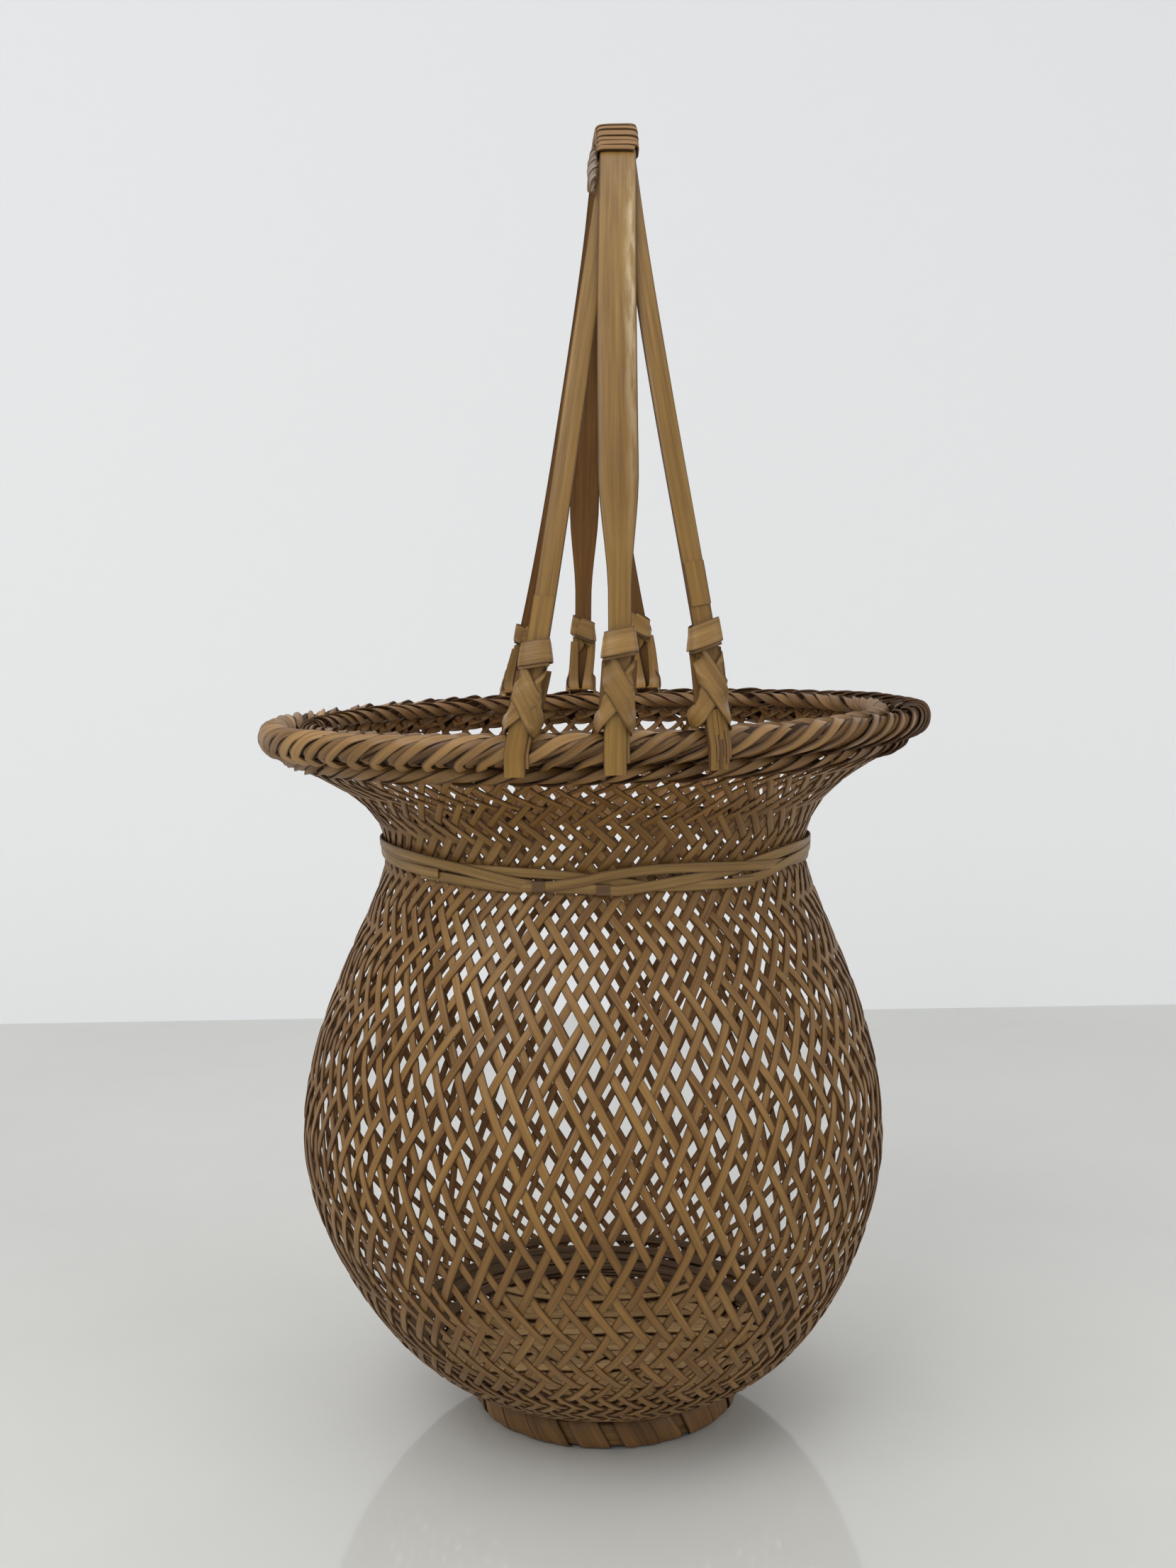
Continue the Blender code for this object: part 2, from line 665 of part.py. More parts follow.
class Leg:
    """One of the six legs, as a frame that follows it up from the rim."""

    def __init__(self, centres, normals, width, thickness):
        self.centres = centres
        self.normals = normals
        self.width = width
        self.thickness = thickness

    def frame(self, height):
        """Middle, axis, across and outward directions above the rim's middle."""
        level = RIM_HEIGHT + height
        pairs = zip(self.centres, self.centres[1:], self.normals, self.normals[1:])
        for low, high, first, second in pairs:
            if low.z <= level <= high.z:
                share = (level - low.z) / (high.z - low.z)
                outward = first.lerp(second, share).normalized()
                axis = (high - low).normalized()
                level_across = Vector((0.0, 0.0, 1.0)).cross(outward).normalized()
                return low.lerp(high, share), axis, level_across, outward
        raise ValueError("no leg at this height")

    def place(self, across, out, height):
        """A point beside the leg at a height above the rim's middle."""
        middle, axis, sideways, outward = self.frame(height)
        return middle + sideways * across + outward * out

    def direction(self, across, out, up, height):
        """A direction beside the leg, not scaled to unit length."""
        middle, axis, sideways, outward = self.frame(height)
        return sideways * across + outward * out + axis * up


def all_legs():
    """The six legs by name, front then back, left then right."""
    legs = {}
    strips = {
        "left": (*side_strip_path(-1), SIDE_WIDTH, SIDE_THICKNESS),
        "centre": (*centre_strip_path(), CENTRE_FOOT_WIDTH, CENTRE_THICKNESS),
        "right": (*side_strip_path(1), SIDE_WIDTH, SIDE_THICKNESS),
    }
    for name, (centres, normals, width, thickness) in strips.items():
        half = len(centres) // 2
        legs[f"front_{name}"] = Leg(centres[:half], normals[:half], width, thickness)
        legs[f"back_{name}"] = Leg(centres[:half:-1], normals[:half:-1], width, thickness)
    return legs


def make_collar(name, leg):
    """A broad strip wound round a leg, its end lying over its start."""
    width = leg.width + 2 * SEAT_GAP + LASHING_THICKNESS
    depth = leg.thickness + 2 * SEAT_GAP + LASHING_THICKNESS
    growth = 2 * (LASHING_THICKNESS + COLLAR_GAP)

    def carrier(share):
        return leg.frame(COLLAR_HEIGHT - COLLAR_SLIP * share)

    def loops(turns):
        return chamfered_loop(width + growth * turns, depth + growth * turns, LASHING_CHAMFER)

    path = wound_path(carrier, round(COLLAR_TURNS * LOOP_CORNERS), loops)
    print_least_gap(f"lashing_collar_{name}", path, COLLAR_WIDTH, LASHING_THICKNESS,
                    LOOP_CORNERS)
    make_strip(f"lashing_collar_{name}", path, [COLLAR_WIDTH] * len(path),
               LASHING_THICKNESS, "lashing", turn=HANDLE_YAW)


def eased_twist(start, end):
    """Sections between two others, turning evenly from one to the next."""
    between = []
    for step in range(1, TIE_TWIST_STEPS):
        share = step / TIE_TWIST_STEPS
        place, outward, sideways = (Vector(a).lerp(Vector(b), share) for a, b in zip(start, end))
        between.append((place, outward.normalized(), sideways.normalized()))
    return between


def make_tie(name, leg):
    """A strip that rises from behind the rim roll, crosses the leg, passes
    behind it, crosses itself in front and goes down behind the roll again."""
    edge = leg.width / 2 + SEAT_GAP + LASHING_THICKNESS / 2
    face = leg.thickness / 2 + SEAT_GAP + LASHING_THICKNESS / 2
    over = face + LASHING_THICKNESS + LOOP_GAP
    roll = leg.thickness / 2 + SEAT_GAP + ROLL_SECTION
    round_roll = ROLL_SECTION + 2 * SEAT_GAP + LASHING_THICKNESS / 2
    slope = math.sqrt(0.5)
    trough = (ROLL_RING_RADIUS - ROLL_SECTION - INNER_ROPE_RADIUS - INNER_ROPE_SECTION) / 2
    twist, rest = TIE_TWIST_SHARES
    foot = edge + TIE_FOOT_SPREAD
    high = TIE_LOW + TIE_RISE
    under_loop = chamfered_loop(2 * edge, 2 * face, LASHING_CHAMFER)
    over_loop = chamfered_loop(2 * edge, 2 * over, LASHING_CHAMFER)
    low_end = [((foot, -roll - ROLL_SECTION - trough, TIE_FOOT_HEIGHT), (0, -1, 0), (-1, 0, 0))]
    for step in range(TIE_ROLL_STEPS + 1):
        angle = math.pi / 4 * (1 + step / TIE_ROLL_STEPS)
        inward, up = math.cos(angle), math.sin(angle)
        place = (foot, -roll - round_roll * inward, round_roll * up)
        low_end.append((place, (0, -inward, up), (-1, 0, 0)))
    beside = (edge + TIE_EDGE_EASE, 0, TIE_LOW - TIE_BACK_RISE)
    low_end.append((beside, (slope, slope, 0), (-twist, twist, rest)))
    low_end[-1:-1] = eased_twist(*low_end[-2:])
    path = []

    def add(place, outward, sideways, stretch=1.0):
        height = place[2]
        path.append((leg.place(*place), leg.direction(*outward, height),
                     leg.direction(*sideways, height) * stretch))

    for (across, out, height), (a, n, up), (s, t, u) in low_end:
        add((-across, out, height), (-a, n, up), (-s, t, u))
    rises = {4: TIE_LOW, 3: high, 2: high + TIE_BACK_RISE / 2, 1: high + TIE_BACK_RISE}
    for corner in (4, 3, 2, 1, 0, 7, 6):
        (across, out), (a, n) = under_loop[corner]
        height = rises.get(corner, high + TIE_BACK_RISE)
        add((across, out, height), (a, n, 0), (0, 0, 1), TIE_CREASE_SHARE)
    rises = {5: high + TIE_BACK_RISE / 2, 4: high, 3: TIE_LOW}
    for corner in (5, 4, 3):
        (across, out), (a, n) = over_loop[corner]
        add((across, out, rises[corner]), (a, n, 0), (0, 0, 1), TIE_CREASE_SHARE)
    for place, outward, sideways in low_end[::-1]:
        add(place, outward, sideways)
    make_strip(f"lashing_tie_{name}", path, [TIE_WIDTH] * len(path),
               LASHING_THICKNESS, "lashing", turn=HANDLE_YAW)


def main():
    for item in list(bpy.data.objects):
        bpy.data.objects.remove(item, do_unlink=True)
    make_body()
    rope_ring("rim_outer_roll", ROLL_RING_RADIUS, RIM_HEIGHT, ROLL_SECTION,
              ROLL_STRANDS, ROLL_TURNS, ROLL_STEPS_PER_TURN, ROLL_GROOVE_SHARE)
    rope_ring("rim_lower_rope", LOWER_ROPE_RADIUS, LOWER_ROPE_HEIGHT, LOWER_ROPE_SECTION,
              ROPE_STRANDS, ROPE_TURNS, ROPE_STEPS_PER_TURN, ROPE_GROOVE_SHARE)
    rope_ring("rim_inner_rope", INNER_ROPE_RADIUS, INNER_ROPE_HEIGHT, INNER_ROPE_SECTION,
              ROPE_STRANDS, -ROPE_TURNS, ROPE_STEPS_PER_TURN, ROPE_GROOVE_SHARE)
    make_neck_winding()
    make_slats()
    make_base_coil()
    make_foot()
    make_handle_strips()
    make_crown_binding()
    make_crown_tail()
    for name, leg in all_legs().items():
        make_collar(name, leg)
        make_tie(name, leg)


main()
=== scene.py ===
"""Ikebana basket, dressed: every strip of the plaited wall, the rolled rim, the
bound foot, the lashed handle, and their bamboo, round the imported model."""

import math

import bmesh
import bpy
import numpy as np
from mathutils import Euler, Matrix, Vector


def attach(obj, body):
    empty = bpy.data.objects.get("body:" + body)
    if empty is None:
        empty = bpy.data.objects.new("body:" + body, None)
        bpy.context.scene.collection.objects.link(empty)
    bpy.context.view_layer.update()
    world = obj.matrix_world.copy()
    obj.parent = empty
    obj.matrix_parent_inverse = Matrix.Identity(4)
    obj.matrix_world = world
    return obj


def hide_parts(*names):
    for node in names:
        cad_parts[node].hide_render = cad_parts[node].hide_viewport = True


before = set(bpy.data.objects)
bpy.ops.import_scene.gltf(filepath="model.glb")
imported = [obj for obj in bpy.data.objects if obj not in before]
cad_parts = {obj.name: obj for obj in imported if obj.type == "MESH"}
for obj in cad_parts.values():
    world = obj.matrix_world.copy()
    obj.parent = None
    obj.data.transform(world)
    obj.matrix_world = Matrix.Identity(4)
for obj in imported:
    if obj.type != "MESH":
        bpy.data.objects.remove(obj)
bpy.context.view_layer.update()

MM = 0.001
UP = np.array((0.0, 0.0, 1.0))
FRONT = -math.pi / 2

# The basket's main sizes, as in the model, and its wall as (radius, height)
MOUTH_RADIUS = 0.1000
RIM_HEIGHT = 0.2113
HANDLE_TOP = 0.3870
FOOT_RADIUS = 0.0415
FOOT_HEIGHT = 0.0095
WALL = 0.0012
BASE = np.array((0.0380, 0.0098))
BELLY = np.array((0.0890, 0.0865))
NECK = np.array((0.0636, 0.1739))
FLARE = np.array((0.0893, 0.2030))
WEB = np.array((0.0863, 0.2101))
WALL_STEPS = (120, 120, 80, 20)
LOW_WALL = slice(WALL_STEPS[0] + 1)

# Small skews of the hand-made basket, as in the model
RIM_TILT = math.radians(1.2)
HANDLE_YAW = math.radians(2.7)
HANDLE_LEAN = 0.0078
HANDLE_LEAN_POWER = 2.2
LEG_LEAN = 0.0014
BELLY_SWAY = -0.0015
FOOT_SWAY = 0.0017

# Plaiting: as many strips each way as the rim has strands. A strip leans by the
# radius at which it would turn back, given at heights up the wall, and changes its
# width by shares, each from a height on and over a distance in mm.
STRIPS_EACH_WAY = 72
STRIP_WIDTH = 2.35 * MM
STRIP_THICKNESS = 0.5 * MM
RELIEF = 0.30 * MM
ROWS_OVER = 2
BAND_HEIGHT = 127.6 * MM
FRONT_STRIP = math.radians(-2.5)
TURN_HEIGHTS = (9, 30, 60, 80, 120, 150, 160, 172, 182, 190, 197, 204, 212)
TURN_RADII = (41.2, 41.0, 40.6, 38.8, 38.2, 36.6, 37.0, 39.0, 39.5, 43.5, 47.5, 52.0, 54.0)
WIDTH_CHANGES = ((0.06, 166, 12), (-0.29, 182, 12), (-0.15, 62, -34))
WAVE_STEEPNESS = 2.2
WANDER = 0.0075
WANDER_BEATS = (1.2, 3.1, 6.5)

# Rim: the outer roll's two layers, with sizes in mm and turns in degrees, then the
# rings that strips wrap
ROLL_SECTION = 4.6 * MM
ROLL_MOST = 4.75 * MM
CREST_DROP = 0.85 * MM
ROLL_STRIP = 0.62 * MM
ROLL_FIRST, ROLL_LAST = -150.0, 168.0
HOOK_LEFT, HOOK_RIGHT = 3.6, -6.0
ROLL_OVER = dict(shift=0.0, shorter=58.0, run=6.4, proud=4.15, swell=0.50, droop=0.9,
                 width=2.62, roll=0.35)
ROLL_UNDER = dict(shift=0.5, shorter=0.0, run=6.8, proud=3.40, swell=0.25, droop=0.27,
                  width=2.3, roll=0.12)
ROLL_CORE = dict(radius=MOUTH_RADIUS - ROLL_SECTION, height=RIM_HEIGHT, section=0.0027,
                 count=36, first=-170.0, last=170.0, run=0.0090, width=5.4 * MM)
LOWER_ROPE = dict(radius=0.0917, height=0.2046, section=0.0019, first=-150.0, last=120.0,
                  run=0.0056, width=2.5 * MM, roll=0.34, jitter=1.6, back_lift=0.0026)
CROSSING = dict(radius=0.0893, height=0.2084, section=0.0022, first=-40.0, last=215.0,
                run=0.0060, width=3.3 * MM, roll=0.1)
INNER_ROPE = dict(radius=0.0857, height=0.2128, section=0.0020, first=-60.0, last=290.0,
                  run=0.0048, width=2.5 * MM, roll=-0.28, way=-1, jitter=1.5)

# Foot ring and base. Each layer of slats has its turn, width, pitch and reach in mm.
FOOT_INSET = 0.9 * MM
HOOP_THICKNESS = 3.4 * MM
HOOP_TURNS = 1.04
FOOT_WRAPS = 22
WRAP_WIDTH = 9.6 * MM
WRAP_SLANT = 0.50
SLAT_LAYERS = ((1.10, 7.8, 9.2, 45.0), (2.14, 7.8, 9.2, 45.0), (0.0, 7.4, 9.0, 48.0),
               (0.95, 6.2, 14.0, 50.0), (2.25, 6.2, 14.0, 50.0), (0.03, 5.2, 13.0, 51.0))
SLAT_THICKNESS = 0.45 * MM
COIL_START = 0.0495
COIL_TURNS = 3.6
COIL_RISE = 15.0
COIL_WIDTH = 2.5 * MM
COIL_THICKNESS = 0.6 * MM

# Handle, its crown binding and its lashings
GAP = 0.3 * MM
CENTRE_TOP_WIDTH = 9.9 * MM
CENTRE_WIDTH = 10.1 * MM
CENTRE_FOOT_WIDTH = 5.7 * MM
CENTRE_THICKNESS = 1.4 * MM
SIDE_TOP_WIDTH = 4.8 * MM
SIDE_WIDTH = 5.4 * MM
SIDE_THICKNESS = 1.2 * MM
FRONT_SPREADS = {-1: 24.6 * MM, 1: 26.0 * MM}
BACK_SPREAD = 26.0 * MM
TONGUE_DROP = 5.8 * MM
SHOULDER_HEIGHT = 0.2805
SHOULDER_LENGTH = 31.0 * MM
TOP_TAPER_HEIGHT = 0.305
TOP_TAPER_LENGTH = 55.0 * MM
SPLIT_HEIGHT = HANDLE_TOP - 0.0160
FRONT_SPLAYS = {-1: 1.25, 1: 1.20}
BACK_SPLAY = 1.65
LAYER_SHARE = 0.35
ARCH_STEPS = 48
ARCH_DROP = 1.4 * MM
CROWN_STRAND = 0.6 * MM
CROWN_WIDTH = 3.05 * MM
CROWN_PITCH = 3.3 * MM
CROWN_TURNS = 21
CROWN_FRONT = 39.5 * MM
CROWN_SHARPNESS = 4.6
TAIL_LENGTH = 22.0
TAIL_STRIPS = 3
TAIL_THICKNESS = 0.45 * MM
TAPE_THICKNESS = 0.5 * MM

# Each front lashing's own collar: height above the rim, tilt, and its width
COLLARS = {"left": (25.4, 0.10, 6.0), "centre": (27.4, 0.14, 6.4), "right": (28.6, 0.30, 6.0)}
COLLAR_TILTS = {"front": 0.06, "back": 0.30}
COLLAR_TURNS = 1.75
COLLAR_SHARPNESS = 2.7

# A tie's two bands as (place across, height, share of the collar's height that it
# goes up with) in mm, the leg's second layer, and the tie's two ends on the inside
# of the leg as (across, inward, height)
OVER_BAND = ((12.5, -3.0, 0), (9.6, 1.0, 0), (7.0, 4.4, 0), (3.9, 8.9, 0.3),
             (0.0, 14.2, 0.6), (-3.9, 19.6, 1), (-6.4, 22.4, 1))
UNDER_BAND = ((-15.5, -3.0, 0), (-12.0, 0.6, 0), (-8.6, 4.4, 0), (-6.0, 7.6, 0),
              (-3.4, 10.0, 0.3), (0.0, 13.0, 0.5), (4.0, 16.8, 0.9), (6.6, 20.0, 1))
UNDER_WIDTH, OVER_WIDTH = 5.8, 6.2
OVER_LIFT = 0.55
LOOSE_BELOW, LOOSE_OVER = 15.0, 6.0
SECOND_LAYER = (10.0, 7.0, 3.0, -1.0, -3.2)
SECOND_WIDTH = 2.6 * MM
INNER_THICKNESS = 0.45 * MM
INNER_BAND = ((3.1, 1.5, 20.5), (3.0, 1.6, 16.0), (2.8, 1.9, 11.5), (2.6, 2.6, 8.0),
              (2.5, 4.2, 6.0), (2.5, 5.8, 5.7), (2.4, 7.0, 5.4))

# The front legs' small repairs, as (place across, width, top, bottom, lift) in mm
SPLICES = {-1: (0.0, 5.5, 38.6, 27.4, 0.17), 1: (0.1, 5.2, 46.0, 35.2, 0.17)}
FRAYED_SKIN = ((-1.85, 1.5, 9.5, -6.3, 0.17), (-0.40, 1.3, 9.4, 3.0, 0.17),
               (0.85, 1.1, 9.6, 1.9, 0.20), (2.05, 1.2, 9.5, 4.0, 0.17))
FRAYED_FIBRES = ((-0.60, 0.8, 4.0, -3.4, 0.12), (0.35, 0.9, 3.0, -6.4, 0.14),
                 (1.25, 0.7, 3.5, -2.1, 0.10), (2.10, 0.8, 5.0, -4.2, 0.14))
LAYER_THICKNESS = 0.34 * MM

# Neck: three flat strands that cross each other loosely, as (degrees to the right
# of the front, height in mm, layer out from the wall)
NECK_STRANDS = (
    ((-188, 172.5, 0.3), (-130, 176.0, 0.4), (-90, 176.8, 0.9), (-70, 177.3, 1.1),
     (-55.5, 177.0, 1.2), (-45, 176.3, 1.2), (-35.8, 175.4, 1.2), (-27.9, 174.1, 1.2),
     (-20.2, 172.6, 1.1), (-13.9, 171.6, 0.4), (-9.2, 171.2, 0.3), (-4, 171.2, 0.5),
     (1.6, 170.9, 1.2), (5.1, 170.6, 1.2), (10.4, 171.2, 1.2), (20.2, 172.5, 1.1),
     (27.8, 173.2, 0.6), (36.3, 174.2, 0.4), (45.7, 175.7, 0.5), (58.3, 176.9, 1.0),
     (75, 176.6, 1.0), (110, 175.4, 1.0), (172, 172.5, 0.9)),
    ((-166, 178.4, 1.0), (-120, 177.5, 1.1), (-90, 175.0, 0.6), (-75.4, 174.4, 0.5),
     (-66.7, 173.7, 0.5), (-54.3, 173.4, 0.7), (-46.8, 173.2, 1.0), (-42.4, 173.2, 1.1)),
    ((-50, 172.1, 0.3), (-42.3, 172.2, 0.3), (-35.8, 171.9, 0.4), (-27.5, 171.4, 0.5),
     (-20.1, 171.1, 0.8), (-13.9, 171.6, 1.2), (-7.9, 172.4, 1.2), (-2, 173.6, 1.2),
     (3.3, 174.9, 1.2), (13.2, 176.0, 1.2), (23.9, 175.9, 1.2), (36.2, 175.0, 1.2),
     (48.2, 173.9, 1.1), (59.2, 173.4, 0.5), (75, 172.7, 0.3), (100, 173.0, 0.3),
     (140, 175.5, 0.5), (192, 178.3, 0.4)),
    ((-156, 174.0, 0.3), (-110, 173.2, 0.3), (-90, 174.0, 0.3), (-72, 174.9, 0.3),
     (-56, 175.3, 0.3), (-45.4, 175.4, 0.3), (-29.7, 175.4, 0.3), (-20.3, 175.3, 0.4),
     (-10.6, 175.0, 0.5), (0, 173.7, 0.4), (6.5, 172.5, 0.4), (11.8, 171.6, 0.4),
     (20.7, 170.9, 0.6), (31.3, 170.6, 0.9), (42.4, 170.2, 1.1)),
    ((35.7, 171.0, 0.3), (42.6, 170.9, 0.4), (50.3, 172.3, 1.1), (59.4, 173.9, 1.3),
     (74.9, 174.9, 1.2), (100, 176.5, 0.5), (140, 177.6, 1.1), (186, 175.8, 1.2),
     (205, 174.0, 0.4)),
)
NECK_JOINTS = ((-13.8, 171.6), (1.6, 170.9))
NECK_WIDTH = 2.8 * MM
NECK_THICKNESS = 0.6 * MM
NECK_LAYER = 0.85 * MM
JOINT_WIDTH = 3.1 * MM
JOINT_THICKNESS = 0.8 * MM

# Stage, lamps and camera: each lamp's place, target, size and power
LIGHTS = {"window": ((-0.9, -1.1, 1.5), (0.0, 0.0, 0.18), (1.4, 1.2), 17.0),
          "fill": ((1.3, -0.9, 0.9), (0.0, 0.0, 0.15), (1.2, 1.2), 5.0),
          "ceiling": ((0.0, -0.1, 1.9), (0.0, 0.0, 0.0), (2.4, 1.6), 10.0)}
ROOM_COLOUR = (0.93, 0.96, 1.0, 1.0)
ROOM_LIGHT = 0.55
CAMERA_PLACE = (-0.0020, -0.5322, 0.24998)
CAMERA_LENS = 53.78
CAMERA_PITCH = math.radians(90.0 - 6.152)
CAMERA_ROLL = math.radians(-0.6)

# Bamboo that all pieces share
SMOOTH_ANGLE = math.radians(34.0)
PITH_ROUGHNESS = 0.78
PITH_CONTRAST = 0.45
FIBRE_BUMP = 0.25
# Painted shade: strip edges are mixed towards this dark colour, as the shadow between strips
# and on their sides
EDGE_SHADE_COLOUR = (0.06, 0.026, 0.008, 1.0)
AGE_COLOUR = (0.46, 0.31, 0.19, 1.0)
# Painted highlight: the pale colour of the glossy band down one edge of the broad handle strip
HIGHLIGHT_BAND_COLOUR = (0.62, 0.50, 0.31, 1.0)

chance = np.random.default_rng(7)
blanks = []


def smooth(value):
    """Ease a share from 0 to 1 with flat ends."""
    value = np.clip(value, 0.0, 1.0)
    return value * value * (3.0 - 2.0 * value)


def unit(vectors):
    return vectors / np.linalg.norm(vectors, axis=-1, keepdims=True)


def settle(points, turn=0.0):
    """Move points of the true basket to where the hand-made one has them."""
    x, y, z = np.asarray(points, float).T
    x, y = x * math.cos(turn) - y * math.sin(turn), x * math.sin(turn) + y * math.cos(turn)
    low = FOOT_SWAY + (BELLY_SWAY - FOOT_SWAY) * smooth(z / BELLY[1])
    high = BELLY_SWAY * (1 - smooth((z - BELLY[1]) / (NECK[1] - BELLY[1])))
    tilt = math.tan(RIM_TILT) * smooth((z - NECK[1]) / (FLARE[1] - NECK[1]))
    rise = np.maximum((z - RIM_HEIGHT) / (HANDLE_TOP - RIM_HEIGHT), 0.0)
    lean = (HANDLE_LEAN * rise ** HANDLE_LEAN_POWER
            + LEG_LEAN * smooth(rise / 0.14) * (1 - smooth((rise - 0.2) / 0.6)))
    return np.stack([x + np.where(z < BELLY[1], low, high) + lean, y, z + x * tilt], 1)


def curve(start, near, far, end, steps):
    """Points of a cubic curve, both ends included."""
    t = np.linspace(0.0, 1.0, steps + 1)[:, None]
    s = 1.0 - t
    return start * s ** 3 + near * 3 * s * s * t + far * 3 * s * t * t + end * t ** 3


def flow(points, steps):
    """A smooth run of values through control rows, evenly stepped."""
    points = np.asarray(points, float)
    padded = np.concatenate([2 * points[:1] - points[1:2], points,
                             2 * points[-1:] - points[-2:-1]])
    at = np.linspace(0.0, len(points) - 1.0, steps + 1)
    index = np.minimum(at.astype(int), len(points) - 2)
    t = (at - index)[:, None]
    a, b, c, d = (padded[index + shift] for shift in range(4))
    return 0.5 * (2 * b + (c - a) * t + (2 * a - 5 * b + 4 * c - d) * t * t
                  + (3 * b - a - 3 * c + d) * t ** 3)


def run_length(points):
    """Distance along a run of points, at each of them."""
    gaps = np.linalg.norm(np.diff(points, axis=0), axis=1)
    return np.concatenate([[0.0], np.cumsum(gaps)])


def read_line(where, along, line, normals):
    """A flat line's two places and its normal's two parts, at places along it."""
    return [np.interp(where, along, values) for values in (*line.T, *normals.T)]


def ring_points(reach, angle, height):
    """Points at a reach from the basket's middle, an angle round it and a height."""
    return np.stack(np.broadcast_arrays(reach * np.cos(angle), reach * np.sin(angle),
                                        height), 1)


# Strips: a straight blank is modelled once, then copies are bent along routes

def deselect_all():
    bpy.ops.object.select_all(action="DESELECT")


def edit_edges(strip, test):
    """Go into edit mode with only the edges selected whose two ends pass a test."""
    deselect_all()
    strip.select_set(True)
    bpy.context.view_layer.objects.active = strip
    bpy.ops.object.mode_set(mode="EDIT")
    bpy.context.tool_settings.mesh_select_mode = (False, True, False)
    bpy.ops.mesh.select_all(action="DESELECT")
    cage = bmesh.from_edit_mesh(strip.data)
    for edge in cage.edges:
        edge.select = test(edge.verts[0].co, edge.verts[1].co)
    bmesh.update_edit_mesh(strip.data)


def make_blank(cuts, rounding=1, softness=0.2):
    """A straight strip one unit wide (X), thick (Y) and long (Z), with softened
    outer edges, cut across into equal lengths. cuts lists the cuts of each pass."""
    deselect_all()
    bpy.ops.mesh.primitive_cube_add(size=1.0, location=(0.0, 0.0, 0.5))
    strip = bpy.context.object
    bpy.ops.object.transform_apply(location=True, rotation=False, scale=False)
    strip.name = "strip_blank"
    edit_edges(strip, lambda a, b: a.y > 0 and b.y > 0 and abs(a.z - b.z) > 0.5)
    bpy.ops.mesh.bevel(offset=softness, segments=rounding, affect="EDGES")
    for count in cuts:
        bpy.ops.object.mode_set(mode="OBJECT")
        edit_edges(strip, lambda a, b: abs(a.z - b.z) > 1e-6)
        bpy.ops.mesh.subdivide(number_cuts=count, smoothness=0.0)
    bpy.ops.object.mode_set(mode="OBJECT")
    blanks.append(strip)
    strip.data.attributes.new("lay", "FLOAT_VECTOR", "POINT")
    strip.data.attributes.new("face", "FLOAT", "POINT")
    steps = math.prod(count + 1 for count in cuts)
    places = np.array([corner.co for corner in strip.data.vertices])
    return {"object": strip, "steps": steps, "across": places[:, 0], "out": places[:, 1],
            "station": np.rint(places[:, 2] * steps).astype(int)}


def shares(blank, first=0.0, last=1.0):
    """A number for each cut along a blank, evenly from first to last."""
    return np.linspace(first, last, blank["steps"] + 1)


def copy_blank(blank, points, length, turn=0.0):
    """A copy of a blank with its points put in place, and its own lay numbers."""
    strip = blank["object"].copy()
    strip.data = blank["object"].data.copy()
    bpy.context.collection.objects.link(strip)
    strip.data.vertices.foreach_set("co", settle(points, turn).astype(np.float32).ravel())
    lay = np.stack([length[blank["station"]], 2 * blank["across"],
                    np.full(len(points), chance.random())], 1)
    strip.data.attributes["lay"].data.foreach_set("vector", lay.astype(np.float32).ravel())
    strip.data.attributes["face"].data.foreach_set(
        "value", (2 * blank["out"]).astype(np.float32))
    return strip


def lay_strip(blank, centres, outward, width, thickness, turn=0.0, roll=0.0):
    """A copy of a blank bent along a route and rolled about its run."""
    along = unit(np.gradient(centres, axis=0))
    across = unit(np.cross(outward, along))
    outward = np.cross(along, across)
    roll = np.broadcast_to(roll, len(centres))[:, None]
    across, outward = (across * np.cos(roll) + outward * np.sin(roll),
                       outward * np.cos(roll) - across * np.sin(roll))
    where = blank["station"]
    wide = blank["across"] * np.broadcast_to(width, len(centres))[where]
    deep = blank["out"] * thickness
    points = centres[where] + across[where] * wide[:, None] + outward[where] * deep[:, None]
    return copy_blank(blank, points, run_length(centres), turn)


def join(name, strips, material, slot, *replaced):
    """Join laid strips into one named piece of the basket."""
    deselect_all()
    for strip in strips:
        strip.select_set(True)
    bpy.context.view_layer.objects.active = strips[0]
    if len(strips) > 1:
        bpy.ops.object.join()
    piece = bpy.context.view_layer.objects.active
    piece.name = name
    piece.data.name = name
    bpy.ops.object.shade_smooth_by_angle(angle=SMOOTH_ANGLE)
    piece.data.materials.clear()
    piece.data.materials.append(material)
    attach(piece, "root")
    if replaced:
        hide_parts(*replaced)


# Materials

def feed(tree, node, inputs):
    """Put values on a node's inputs, or link other nodes' outputs to them."""
    for socket, value in inputs.items():
        if isinstance(value, bpy.types.NodeSocket):
            tree.links.new(value, node.inputs[socket])
        else:
            node.inputs[socket].default_value = value


def add_node(tree, kind, inputs, **settings):
    node = tree.nodes.new(kind)
    for key, value in settings.items():
        setattr(node, key, value)
    feed(tree, node, inputs)
    return node


def lay_out(tree):
    """Set a tree's nodes in columns, each to the right of all that feeds it."""
    column = {node.name: 0 for node in tree.nodes}
    for _ in tree.nodes:
        for link in tree.links:
            column[link.to_node.name] = max(column[link.to_node.name],
                                            column[link.from_node.name] + 1)
    rows = {}
    for node in tree.nodes:
        x = column[node.name]
        rows[x] = rows.get(x, 0) + 1
        node.location = (240 * x, -260 * rows[x])


def combine(tree, operation, *values, clamp=False):
    return add_node(tree, "ShaderNodeMath", dict(enumerate(values)), operation=operation,
                    use_clamp=clamp).outputs[0]


def times(tree, first, second):
    return combine(tree, "MULTIPLY", first, second)


def stretch(tree, vector, scales):
    return add_node(tree, "ShaderNodeVectorMath", {0: vector, 1: scales},
                    operation="MULTIPLY").outputs[0]


def split(tree, vector):
    return add_node(tree, "ShaderNodeSeparateXYZ", {0: vector}).outputs


